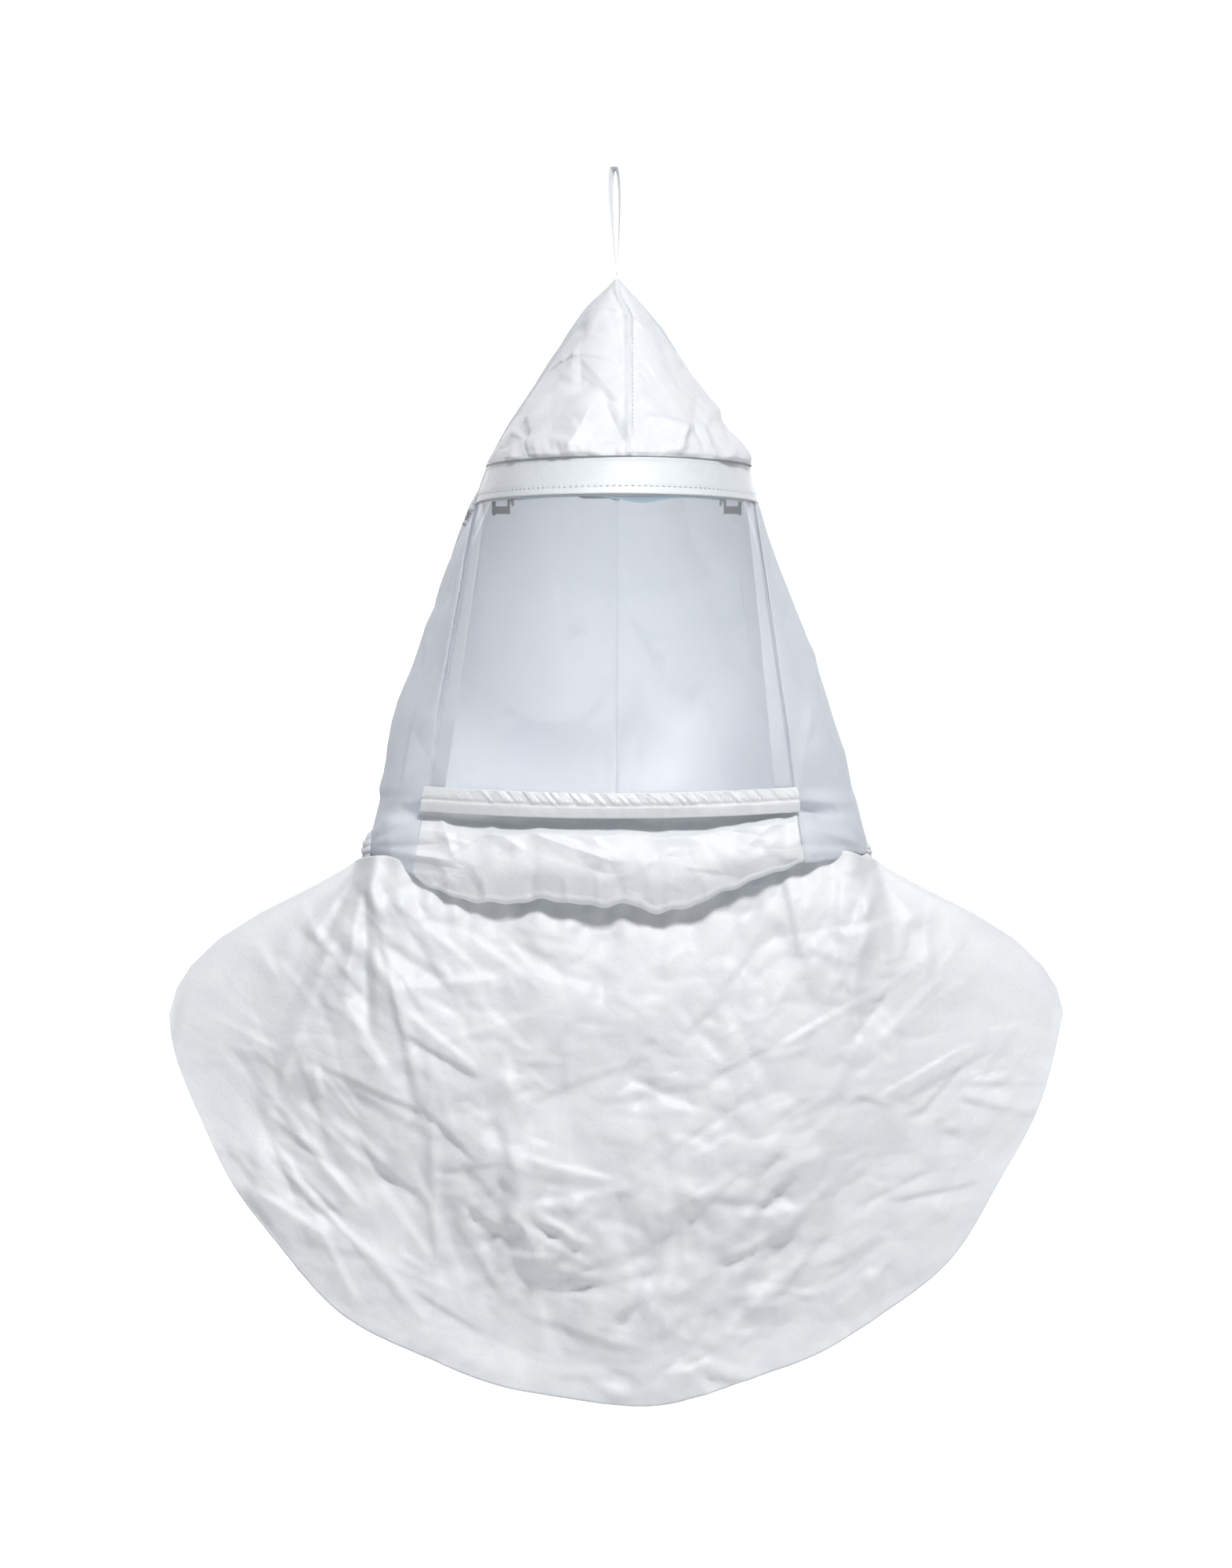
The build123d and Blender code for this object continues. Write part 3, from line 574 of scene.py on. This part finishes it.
def nonwoven(name, light, dark, glow=0.16, roughness=0.5):
    """Flash-spun sheet: swirled fibre mottling, tiny creases, a soft calendered sheen and some glow-through."""
    material, nodes, links = new_material(name)
    coord = nodes.new("ShaderNodeTexCoord")
    fibre = noise_node(nodes, links, coord, 420.0, 6.0, 0.7, 1.5)
    cloud = noise_node(nodes, links, coord, 28.0, 5.0, 0.6, 0.6)
    crease = nodes.new("ShaderNodeTexVoronoi")
    crease.feature = "DISTANCE_TO_EDGE"
    crease.inputs["Scale"].default_value = 85.0
    links.new(coord.outputs["Object"], crease.inputs["Vector"])
    colour = ramp_node(nodes, links, fibre.outputs["Fac"], [(0.3, dark), (0.7, light)])
    fade = ramp_node(nodes, links, cloud.outputs["Fac"], [(0.3, (0.93, 0.94, 0.96)), (0.7, (1, 1, 1))])
    mix = nodes.new("ShaderNodeMix")
    mix.data_type = "RGBA"
    mix.blend_type = "MULTIPLY"
    mix.inputs["Factor"].default_value = 1.0
    links.new(colour.outputs["Color"], mix.inputs["A"])
    links.new(fade.outputs["Color"], mix.inputs["B"])
    rough = ramp_node(nodes, links, cloud.outputs["Fac"],
                      [(0.3, (roughness - 0.08,) * 3), (0.7, (roughness + 0.1,) * 3)])
    edge = ramp_node(nodes, links, crease.outputs["Distance"], [(0.0, (0, 0, 0)), (0.08, (1, 1, 1))])
    first = bump_node(nodes, links, edge.outputs["Color"], 0.12, 0.0006)
    second = bump_node(nodes, links, fibre.outputs["Fac"], 0.22, 0.0004, first.outputs["Normal"])
    third = bump_node(nodes, links, cloud.outputs["Fac"], 0.3, 0.002, second.outputs["Normal"])
    shader = nodes.new("ShaderNodeBsdfPrincipled")
    shader.inputs["Sheen Weight"].default_value = 0.15
    shader.inputs["Specular IOR Level"].default_value = 0.45
    links.new(mix.outputs["Result"], shader.inputs["Base Color"])
    links.new(rough.outputs["Color"], shader.inputs["Roughness"])
    links.new(third.outputs["Normal"], shader.inputs["Normal"])
    through = nodes.new("ShaderNodeBsdfTranslucent")
    through.inputs["Color"].default_value = (0.93, 0.95, 1.0, 1)
    links.new(third.outputs["Normal"], through.inputs["Normal"])
    blend = nodes.new("ShaderNodeMixShader")
    blend.inputs["Fac"].default_value = glow
    links.new(shader.outputs["BSDF"], blend.inputs[1])
    links.new(through.outputs["BSDF"], blend.inputs[2])
    output = nodes.new("ShaderNodeOutputMaterial")
    links.new(blend.outputs["Shader"], output.inputs["Surface"])
    return material


def simple_surface(name, light, dark, roughness, scale, bump, metallic=0.0, weave=None, sheen=0.0):
    """Moulded or woven surface with fine mottling, and an optional woven rib."""
    material, nodes, links = new_material(name)
    coord = nodes.new("ShaderNodeTexCoord")
    grain = noise_node(nodes, links, coord, scale, 5.0, 0.6)
    colour = ramp_node(nodes, links, grain.outputs["Fac"], [(0.3, dark), (0.72, light)])
    rough = ramp_node(nodes, links, grain.outputs["Fac"],
                      [(0.3, (roughness - 0.06,) * 3), (0.7, (roughness + 0.08,) * 3)])
    relief = bump_node(nodes, links, grain.outputs["Fac"], bump, 0.0004)
    normal = relief
    if weave:
        wave = nodes.new("ShaderNodeTexWave")
        wave.bands_direction = weave[0]
        wave.inputs["Scale"].default_value = weave[1]
        wave.inputs["Distortion"].default_value = 1.2
        links.new(coord.outputs["Object"], wave.inputs["Vector"])
        normal = bump_node(nodes, links, wave.outputs["Fac"], 0.35, 0.0003, relief.outputs["Normal"])
    shader = nodes.new("ShaderNodeBsdfPrincipled")
    shader.inputs["Metallic"].default_value = metallic
    shader.inputs["Sheen Weight"].default_value = sheen
    links.new(colour.outputs["Color"], shader.inputs["Base Color"])
    links.new(rough.outputs["Color"], shader.inputs["Roughness"])
    links.new(normal.outputs["Normal"], shader.inputs["Normal"])
    output = nodes.new("ShaderNodeOutputMaterial")
    links.new(shader.outputs["BSDF"], output.inputs["Surface"])
    return material


def clear_film(name):
    """Clear flexible sheet: nearly invisible face on, with a soft gloss and faint scuffs."""
    material, nodes, links = new_material(name)
    coord = nodes.new("ShaderNodeTexCoord")
    scuff = noise_node(nodes, links, coord, 9.0, 6.0, 0.6, 0.4)
    rough = ramp_node(nodes, links, scuff.outputs["Fac"], [(0.35, (0.06,) * 3), (0.75, (0.22,) * 3)])
    relief = bump_node(nodes, links, scuff.outputs["Fac"], 0.15, 0.002)
    shader = nodes.new("ShaderNodeBsdfPrincipled")
    shader.inputs["Base Color"].default_value = (0.86, 0.90, 0.94, 1)
    shader.inputs["Alpha"].default_value = 0.16
    shader.inputs["IOR"].default_value = 1.57
    shader.inputs["Specular IOR Level"].default_value = 1.0
    links.new(rough.outputs["Color"], shader.inputs["Roughness"])
    links.new(relief.outputs["Normal"], shader.inputs["Normal"])
    output = nodes.new("ShaderNodeOutputMaterial")
    links.new(shader.outputs["BSDF"], output.inputs["Surface"])
    return material


# ---------------------------------------------------------------- tapes, stitches, small pieces
def band_points(z_top, z_bottom, grow, start, end, rows, columns, relief=None):
    """Points of a band that follows the hood."""
    v = np.linspace(0, 1, rows)[:, None] * np.ones((1, columns))
    u = np.linspace(0, 1, columns)[None, :] * np.ones((rows, 1))
    z = z_top + v * (z_bottom - z_top)
    a = start(z) if callable(start) else start
    b = end(z) if callable(end) else end
    angle = a + u * (b - a)
    points = hood_shell(angle, z, grow)
    if relief is not None:
        points = points + outward(angle, z) * relief(points[..., 0], z)[..., None]
    return points


def capsule_row(name, centres, directions, length, radius):
    """One mesh of many small stitches: each is a short rounded thread."""
    ring = 6
    profile = [(-0.5, 0.35), (-0.36, 0.85), (0.0, 1.0), (0.36, 0.85), (0.5, 0.35)]
    vertices, faces = [], []
    for centre, direction in zip(centres, directions):
        direction = np.asarray(direction) / np.linalg.norm(direction)
        side = np.cross(direction, (0.13, 0.97, 0.21))
        side /= np.linalg.norm(side)
        up = np.cross(direction, side)
        first = len(vertices)
        for t, r in profile:
            for i in range(ring):
                turn = 2 * math.pi * i / ring
                offset = direction * t * length + (side * math.cos(turn) + up * math.sin(turn)) * r * radius
                vertices.append(((centre + offset) * MM).tolist())
        for j in range(len(profile) - 1):
            for i in range(ring):
                a, b = first + j * ring + i, first + j * ring + (i + 1) % ring
                faces.append((a, b, b + ring, a + ring))
        faces.append(tuple(first + i for i in reversed(range(ring))))
        last = first + (len(profile) - 1) * ring
        faces.append(tuple(last + i for i in range(ring)))
    mesh = bpy.data.meshes.new(name)
    mesh.from_pydata(vertices, [], faces)
    for polygon in mesh.polygons:
        polygon.use_smooth = True
    piece = bpy.data.objects.new(name, mesh)
    bpy.context.scene.collection.objects.link(piece)
    return piece


def make_brow_band():
    """Flat strip over the lens's top edge, with a step near its top, and its shorter inner layer."""
    def relief(x, z):
        step = 0.7 * smooth_step((BROW_TOP - 6 - z) / 1.5)
        wave = 0.5 * np.sin(x / 23.0) * smooth_step((z - BROW_BOTTOM) / 10.0)
        dent = -0.35 * np.exp(-((z - BROW_BOTTOM - 6.0) / 0.9) ** 2)
        return wave - step * 0.6 + dent
    points = band_points(BROW_TOP + 2, BROW_BOTTOM, 1.6, -math.pi + 0.01, -0.01, 30, 260, relief)
    outer = grid_mesh("brow_tape", points)
    thicken(outer, 0.9)
    points = band_points(BROW_TOP - 2, BROW_BOTTOM - 1.5, -2.0, -math.pi, 0.0, 8, 160)
    inner = grid_mesh("brow_tape_facing", points)
    thicken(inner, 0.6)
    return outer, inner


def make_brow_stitches():
    """Row of stitches along the brow band's lower edge."""
    pitch = 4.7
    turn = np.linspace(-math.pi, 0, 2000)
    z = np.full_like(turn, BROW_BOTTOM + 6.0)
    line = hood_shell(turn, z, 1.9)
    run = np.concatenate([[0], np.cumsum(np.linalg.norm(np.diff(line, axis=0), axis=1))])
    marks = np.arange(pitch, run[-1] - pitch, pitch)
    centres = np.stack([np.interp(marks, run, line[:, k]) for k in range(3)], axis=-1)
    ahead = np.stack([np.interp(marks + 0.5, run, line[:, k]) for k in range(3)], axis=-1)
    return capsule_row("brow_stitches", centres, ahead - centres, 2.6, 0.38)


def make_seam_stitches():
    """Stitches down the crown's centre-front seam."""
    z = np.arange(APEX_Z - 18, BROW_TOP + 14, -3.4)
    line = hood_shell(seam_angle(z), z, 0.7)
    line[:, 0] += 3.0
    below = line.copy()
    below[:, 2] -= 1.0
    below[:, 1] -= 0.8
    return capsule_row("crown_seam_stitches", line, below - line, 2.0, 0.32)


def make_lower_binding():
    """Tape along the lens's bottom edge: its upper half is puckered, its lower half smooth."""
    def relief(x, z):
        share = np.clip((z - (LENS_BOTTOM - 11)) / 19.0, 0, 1)
        pucker = 1.0 * value_noise(x / 2.9 + 0.3 * z, z / 7.0, SEED + 90) * smooth_step((share - 0.4) / 0.2)
        pucker += 0.7 * value_noise(x / 7.0, z / 9.0, SEED + 91)
        pucker *= smooth_step((150 - np.abs(x - 10)) / 60.0)
        roll = 1.6 * np.sin(math.pi * share) - 0.9 * np.exp(-((share - 0.5) / 0.07) ** 2)
        sway = 0.8 * np.sin(x / 21.0 + 1.0)
        return pucker + roll + sway * share
    points = band_points(LENS_BOTTOM + 8, LENS_BOTTOM - 11, 0.6,
                         lambda z: lens_edge(z, -1) - 0.012, lambda z: lens_edge(z, 1) + 0.012, 34, 520, relief)
    sag = 5.0 * np.clip(1 - (points[..., 0] / 142.0) ** 2, 0, 1)
    points[..., 2] -= sag - 3.0
    piece = grid_mesh("lower_tape", points)
    thicken(piece, 0.8)
    return piece


def make_lower_stitches():
    """Slanted overlock stitches across the puckered half of the lower tape."""
    x = np.arange(-128.0, 112.0, 3.1)
    left = at_height(LENS_BOTTOM, HALF_LEFT)
    right = at_height(LENS_BOTTOM, HALF_RIGHT)
    half = np.where(x > 0, right, left)
    angle = -np.arccos(np.clip(x / half, -1, 1))
    sag = 5.0 * np.clip(1 - (x / 142.0) ** 2, 0, 1) - 3.5
    centres = hood_shell(angle, np.full_like(x, LENS_BOTTOM + 1.4), 2.9)
    centres[:, 2] -= sag
    directions = np.stack([np.full_like(x, 0.35), np.zeros_like(x), np.full_like(x, 1.0)], axis=-1)
    return capsule_row("lower_stitches", centres, directions, 3.6, 0.2)


def make_side_binding(side):
    """Tape behind one side edge of the lens."""
    def edge(z):
        return lens_edge(z, side)

    def inner(z):
        return lens_edge(z, side) - side * 0.105

    start, end = (edge, inner) if side < 0 else (inner, edge)
    points = band_points(BROW_BOTTOM, LENS_BOTTOM, -2.2, start, end, 120, 16)
    piece = grid_mesh("side_tape_" + WORD[side], points)
    thicken(piece, 0.5)
    return piece


def make_lens():
    """Clear sheet bent round the face, with a slow ripple and one soft facet line at each side."""
    def relief(x, y, z):
        ripple = 1.4 * value_noise(x / 90.0 + 7, z / 120.0, SEED + 70)
        facet = fold(x, z, (77, -305), (128, -415), 4.2, 34, 16, sharp=1.0)
        facet += fold(x, z, (-140, -445), (-125, -484), 2.0, 10, 8)
        facet += fold(x, z, (128, -412), (113, -481), 2.0, 10, 8)
        facet += fold(x, z, (-8, -300), (-6, -484), 1.2, 60, 6, sharp=1.0)
        return ripple + facet
    piece = hood_cloth("lens_film", lambda z: lens_edge(z, -1), lambda z: lens_edge(z, 1), BROW_BOTTOM + 2,
                       LENS_BOTTOM, relief, 110, 150, grow=-0.6)
    thicken(piece, 0.5)
    return piece


def make_neck_ring(name, drop, height, grow, pleat, count, thickness, rows=14):
    """Gathered ring along the neck line."""
    columns = 900
    turn = np.linspace(-math.pi, math.pi, columns, endpoint=False)[None, :] * np.ones((rows, 1))
    v = np.linspace(0, 1, rows)[:, None] * np.ones((1, columns))
    x = np.where(np.cos(turn) > 0, NECK_RIGHT, NECK_LEFT) * np.cos(turn)
    z = neck_z(x) - drop - v * height
    base = hood_shell(turn, z, grow)
    belly = np.sin(math.pi * v)
    lift = pleat * np.sin(count * turn + 1.3 * np.sin(7 * turn)) * (0.4 + 0.6 * belly) + 1.2 * belly
    points = base + outward(turn, z) * lift[..., None]
    piece = grid_mesh(name, points, closed=True)
    thicken(piece, thickness)
    return piece


def make_pinch(side):
    """Bunched cloth where the neck's drawstring pulls one side in."""
    rows, columns = 60, 40
    v = np.linspace(0, 1, rows)[:, None] * np.ones((1, columns))
    turn = np.linspace(0, 2 * math.pi, columns, endpoint=False)[None, :] * np.ones((rows, 1))
    centre_x = side * 186.0
    size = 27.0 if side < 0 else 17.0
    z = -508.0 - v * size - (6.0 if side > 0 else 0.0)
    belly = np.sin(math.pi * np.clip(v, 0.02, 0.98)) ** 0.5
    rib = 1.3 * np.abs(np.sin(v * math.pi * 4.5)) * belly
    x = centre_x + (7.0 * belly + rib) * np.cos(turn) + side * 3.0 * v
    y = (9.0 * belly + rib) * np.sin(turn)
    points = np.stack([x, y, z + 0.8 * np.sin(3 * turn)], axis=-1)
    return grid_mesh("neck_pinch_" + WORD[side], points, closed=True)


def make_loop():
    """Doubled woven tape: one leg nearly straight, one bowed, both twisted a little, pressed into a stem."""
    rows, columns = 220, 9
    bottom, top = LOOP_LOW[2] - 1.2, -0.6
    t = np.linspace(0, 1, rows)
    turn = 2 * math.pi * t
    half = 4.2
    up = 0.5 - 0.5 * np.cos(turn)
    z_line = bottom + (top - bottom) * up ** 0.82
    open_share = np.sin(turn) * (0.35 + 0.65 * up)
    x_line = np.where(np.sin(turn) > 0, -half * np.abs(open_share) - 1.0 * up, half * np.abs(open_share))
    x_line = x_line - 1.2 * up
    twist = 0.5 * up * np.where(t < 0.5, 1.0, -0.5)
    across = np.linspace(-0.5, 0.5, columns) * (2 * LOOP_HIGH[1] - 0.6)
    points = np.zeros((rows, columns, 3))
    for i in range(rows):
        points[i, :, 0] = x_line[i] + across * math.sin(twist[i])
        points[i, :, 1] = across * math.cos(twist[i])
        points[i, :, 2] = z_line[i] + 0.15 * np.abs(across)
    piece = grid_mesh("loop_tape", points)
    thicken(piece, 0.7, 0.0)
    return piece


def soft_band(name, half_x, reach, centre_y, z_low, z_high, thick, start, end, dip=0.0):
    """Foam band round an elliptic path with a rounded section, and small dimples."""
    rows, columns = 240, 28
    a = np.linspace(start, end, rows)[:, None] * np.ones((1, columns))
    section = np.linspace(0, 2 * math.pi, columns, endpoint=False)[None, :] * np.ones((rows, 1))
    middle, half_height = (z_low + z_high) / 2, (z_high - z_low) / 2
    power = 0.55
    c, s = np.cos(section), np.sin(section)
    out = np.sign(c) * np.abs(c) ** power * thick / 2
    high = np.sign(s) * np.abs(s) ** power * half_height
    out = out + 0.25 * value_noise(a * 40, section * 3 + 9, SEED + 80)
    sag = -dip * np.exp(-((np.cos(a) * half_x - 18) / 20.0) ** 2)
    x = (half_x + out) * np.cos(a)
    y = centre_y + (reach + out) * np.sin(a)
    return grid_mesh(name, np.stack([x, y, middle + high + sag], axis=-1), closed=True)


def cap_ends(piece, rows, columns):
    """Close the two open ends of a tube-like grid."""
    bm = bmesh.new()
    bm.from_mesh(piece.data)
    bm.verts.ensure_lookup_table()
    for first in (0, (rows - 1) * columns):
        bm.faces.new([bm.verts[first + i] for i in range(columns)])
    bmesh.ops.recalc_face_normals(bm, faces=bm.faces)
    bm.to_mesh(piece.data)
    bm.free()


def make_nape_foam():
    """Crowned foam pad with three pressed channels."""
    low, high = node_box("nape_pad")
    n = 60
    u = np.linspace(-1, 1, n)[None, :] * np.ones((n, 1))
    v = np.linspace(-1, 1, n)[:, None] * np.ones((1, n))
    shape = np.clip(1 - np.abs(u) ** 6, 0, 1) ** 0.4 * np.clip(1 - np.abs(v) ** 6, 0, 1) ** 0.4
    channel = 1.2 * sum(np.exp(-((u - c) / 0.035) ** 2) for c in (-0.45, 0.0, 0.45))
    depth = (high[1] - low[1] - 0.6) * shape - channel * shape
    squeeze = 1 - 0.06 * v ** 2
    x = u * high[0] * squeeze
    z = (low[2] + high[2]) / 2 + v * (high[2] - low[2]) / 2 * (1 - 0.08 * u ** 2)
    piece = grid_mesh("nape_foam", np.stack([x, high[1] - 0.2 - depth, z], axis=-1))
    thicken(piece, 0.2, 1.0)
    return piece


# ---------------------------------------------------------------- make everything
cloth = nonwoven("nonwoven_cloth", (0.935, 0.955, 0.965), (0.875, 0.895, 0.91))
back_cloth = nonwoven("hood_cloth", (0.94, 0.955, 0.965), (0.885, 0.90, 0.912), glow=0.5)
# Darker copy of the hood's nonwoven cloth for the crown: painted shade that holds down how bright the crown is
# under the key light.
crown_painted_shade_cloth = nonwoven("crown_painted_shade_cloth", (0.875, 0.895, 0.91), (0.81, 0.83, 0.85))
# Darker copy of the cloth for the neck pinches: painted shade standing in for the shadow inside the gathers.
painted_shade_cloth = nonwoven("gathered_painted_shade_cloth", (0.86, 0.88, 0.91), (0.78, 0.80, 0.84))
band = nonwoven("band_cloth", (0.83, 0.86, 0.88), (0.76, 0.79, 0.82), glow=0.1, roughness=0.42)
tape = simple_surface("woven_tape", (0.88, 0.90, 0.92), (0.78, 0.80, 0.83), 0.6, 900.0, 0.3,
                      weave=("Z", 420.0), sheen=0.2)
edge_tape = nonwoven("edge_tape", (0.93, 0.935, 0.97), (0.88, 0.885, 0.93), glow=0.3)
thread = simple_surface("thread", (0.72, 0.75, 0.78), (0.6, 0.63, 0.66), 0.6, 1500.0, 0.3, sheen=0.3)
foam = simple_surface("blue_foam", (0.42, 0.68, 0.82), (0.32, 0.58, 0.74), 0.8, 1100.0, 0.6, sheen=0.3)
pale_foam = simple_surface("pale_foam", (0.72, 0.76, 0.80), (0.64, 0.68, 0.72), 0.85, 1100.0, 0.6, sheen=0.3)
film = clear_film("clear_film")
elastic = simple_surface("knit_elastic", (0.80, 0.81, 0.83), (0.66, 0.67, 0.70), 0.75, 800.0, 0.4,
                         weave=("X", 300.0), sheen=0.3)
black = simple_surface("black_plastic", (0.035, 0.036, 0.04), (0.018, 0.018, 0.02), 0.45, 700.0, 0.25)
white = simple_surface("white_plastic", (0.80, 0.81, 0.82), (0.72, 0.73, 0.74), 0.4, 500.0, 0.15)
rubber = simple_surface("seal_rubber", (0.05, 0.05, 0.055), (0.03, 0.03, 0.032), 0.7, 600.0, 0.3)
steel = simple_surface("spring_steel", (0.62, 0.62, 0.63), (0.5, 0.5, 0.51), 0.32, 1200.0, 0.15, metallic=1.0)

for node, material in (("headband", black), ("crown_strap_left", black), ("crown_strap_right", black),
                       ("temple_clips", black), ("nape_arm_left", black), ("nape_arm_right", black),
                       ("ratchet_housing", black), ("ratchet_cover", black), ("ratchet_knob", black),
                       ("ratchet_pinion", white), ("air_inlet_flange", white), ("air_inlet_nut", white),
                       ("air_inlet_gasket", rubber), ("detent_spring", steel)):
    NODES[node].data.materials.clear()
    NODES[node].data.materials.append(material)

loop = make_loop()
finish_piece(loop, tape, "loop", "tape", "hang_loop")

for side in (-1, 1):
    crown = make_crown(side)
    thicken(crown, CLOTH)
    # The crown gets the darker copy of the cloth: painted shade.
    finish_piece(crown, crown_painted_shade_cloth, "hood", "shroud_cloth", "crown_" + WORD[side])
    panel = make_side_panel(side)
    thicken(panel, CLOTH if side < 0 else -CLOTH)
    finish_piece(panel, back_cloth, "hood", "shroud_cloth", "side_panel_" + WORD[side],
                 "back_panel_" + WORD[side], "crown_back_" + WORD[side])
    binding = make_side_binding(side)
    finish_piece(binding, edge_tape, "hood", "tape", "lens_side_binding_" + WORD[side])

chin = make_chin_panel()
thicken(chin, CLOTH)
finish_piece(chin, cloth, "hood", "shroud_cloth", "chin_panel")

for side in (-1, 1):
    pinch = make_pinch(side)
    # The pinches get the darker copy of the cloth: painted shade in the gathers.
    finish_piece(pinch, painted_shade_cloth, "hood", "shroud_cloth")

lens = make_lens()
finish_piece(lens, film, "hood", "lens_sheet", "lens")

brow, facing = make_brow_band()
finish_piece(brow, band, "hood", "band_cloth", "brow_band")
finish_piece(facing, band, "hood", "band_cloth", "brow_band_facing")
for stitches in (make_brow_stitches(), make_seam_stitches(), make_lower_stitches()):
    finish_piece(stitches, thread, "hood", "tape")

lower = make_lower_binding()
finish_piece(lower, tape, "hood", "tape", "lens_lower_binding")

casing = make_neck_ring("neck_gathers", -1.0, 14.0, 0.0, 1.6, 74, 0.5)
finish_piece(casing, cloth, "hood", "shroud_cloth", "neck_casing")
inner_elastic = make_neck_ring("neck_ribbed_elastic", 1.5, 9.0, -3.6, 0.5, 110, 0.8, rows=8)
finish_piece(inner_elastic, elastic, "hood", "elastic", "neck_elastic")

for side in (-1, 1):
    panel = make_cape(side)
    thicken(panel, CLOTH if side < 0 else -CLOTH)
    panel.data.materials.clear()
    panel.data.materials.append(cloth)
    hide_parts("cape_front" if side < 0 else "cape_back")
    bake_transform(panel)

sweat = soft_band("sweat_foam", 78.0, 80.0, -34.0, -258.8, -235.5, 5.6,
                  math.radians(197), math.radians(343), dip=5.0)
cap_ends(sweat, 240, 28)
finish_piece(sweat, foam, "hood", "foam", "sweatband")
pad = make_nape_foam()
finish_piece(pad, pale_foam, "nape_unit", "foam", "nape_pad")


# ---------------------------------------------------------------- stage, light and camera
def make_stage():
    """Pale floor that sweeps up into a backdrop."""
    floor_z, back_y, bend, reach, wall_top = -1900.0, 4700.0, 600.0, 16000.0, 9000.0
    profile = [(-reach, floor_z), (back_y - bend, floor_z)]
    profile += [(back_y - bend + bend * math.sin(t), floor_z + bend - bend * math.cos(t))
                for t in np.linspace(0.1, math.pi / 2, 12)]
    profile.append((back_y, wall_top))
    points = np.array([[[x, y, z] for x in (-reach, reach)] for y, z in profile])
    sweep = grid_mesh("studio_sweep", points)
    material, nodes, links = new_material("studio_white")
    coord = nodes.new("ShaderNodeTexCoord")
    mottle = noise_node(nodes, links, coord, 3.0, 2.0)
    colour = ramp_node(nodes, links, mottle.outputs["Fac"],
                       [(0.3, (0.95, 0.955, 0.96)), (0.7, (0.97, 0.97, 0.97))])
    shader = nodes.new("ShaderNodeBsdfPrincipled")
    shader.inputs["Roughness"].default_value = 0.9
    shader.inputs["Specular IOR Level"].default_value = 0.1
    links.new(colour.outputs["Color"], shader.inputs["Base Color"])
    output = nodes.new("ShaderNodeOutputMaterial")
    links.new(shader.outputs["BSDF"], output.inputs["Surface"])
    sweep.data.materials.append(material)


def area_light(name, place, target, size, power, colour=(1, 1, 1)):
    """Soft rectangular light aimed at a point."""
    data = bpy.data.lights.new(name, "AREA")
    data.shape = "RECTANGLE"
    data.size, data.size_y = size
    data.energy = power
    data.color = colour
    light = bpy.data.objects.new(name, data)
    bpy.context.scene.collection.objects.link(light)
    light.location = [v * MM for v in place]
    light.visible_camera = False
    aim = np.array(target) - np.array(place)
    light.rotation_euler = Vector(aim.tolist()).to_track_quat("-Z", "Y").to_euler()
    return light


def make_camera():
    """Level long lens, straight in front."""
    distance, frame_height = 3600.0, 1200.0
    data = bpy.data.cameras.new("camera")
    data.sensor_width = 36.0
    data.lens = 36.0 * distance / frame_height
    camera = bpy.data.objects.new("camera", data)
    bpy.context.scene.collection.objects.link(camera)
    camera.location = (-0.0006, -distance * MM, -0.4722)
    camera.rotation_euler = (math.pi / 2, 0, 0)
    bpy.context.scene.camera = camera


world = bpy.data.worlds.new("studio")
world.use_nodes = True
world.node_tree.nodes["Background"].inputs["Color"].default_value = (0.965, 0.98, 1.0, 1)
world.node_tree.nodes["Background"].inputs["Strength"].default_value = 0.30
bpy.context.scene.world = world
bpy.context.scene.view_settings.view_transform = "Standard"

make_stage()
area_light("key", (520, -2450, 1850), (0, 0, -560), (0.6, 0.6), 97, (1.0, 0.998, 0.99))
area_light("top", (0, -300, 1500), (0, 0, -500), (1.6, 1.0), 3, (0.97, 0.98, 1.0))
area_light("backdrop_left", (-2400, 2900, 500), (0, 4700, -450), (2.0, 3.0), 85)
area_light("backdrop_right", (2400, 2900, 500), (0, 4700, -450), (2.0, 3.0), 85)
area_light("back", (0, 2300, 300), (0, 0, -500), (2.4, 2.0), 7, (1.0, 0.995, 0.98))
face_light = area_light("face", (0, -2600, 300), (0, 100, -425), (0.1, 0.1), 0.034, (1.0, 0.985, 0.95))
face_light.data.spread = math.radians(5.5)
make_camera()
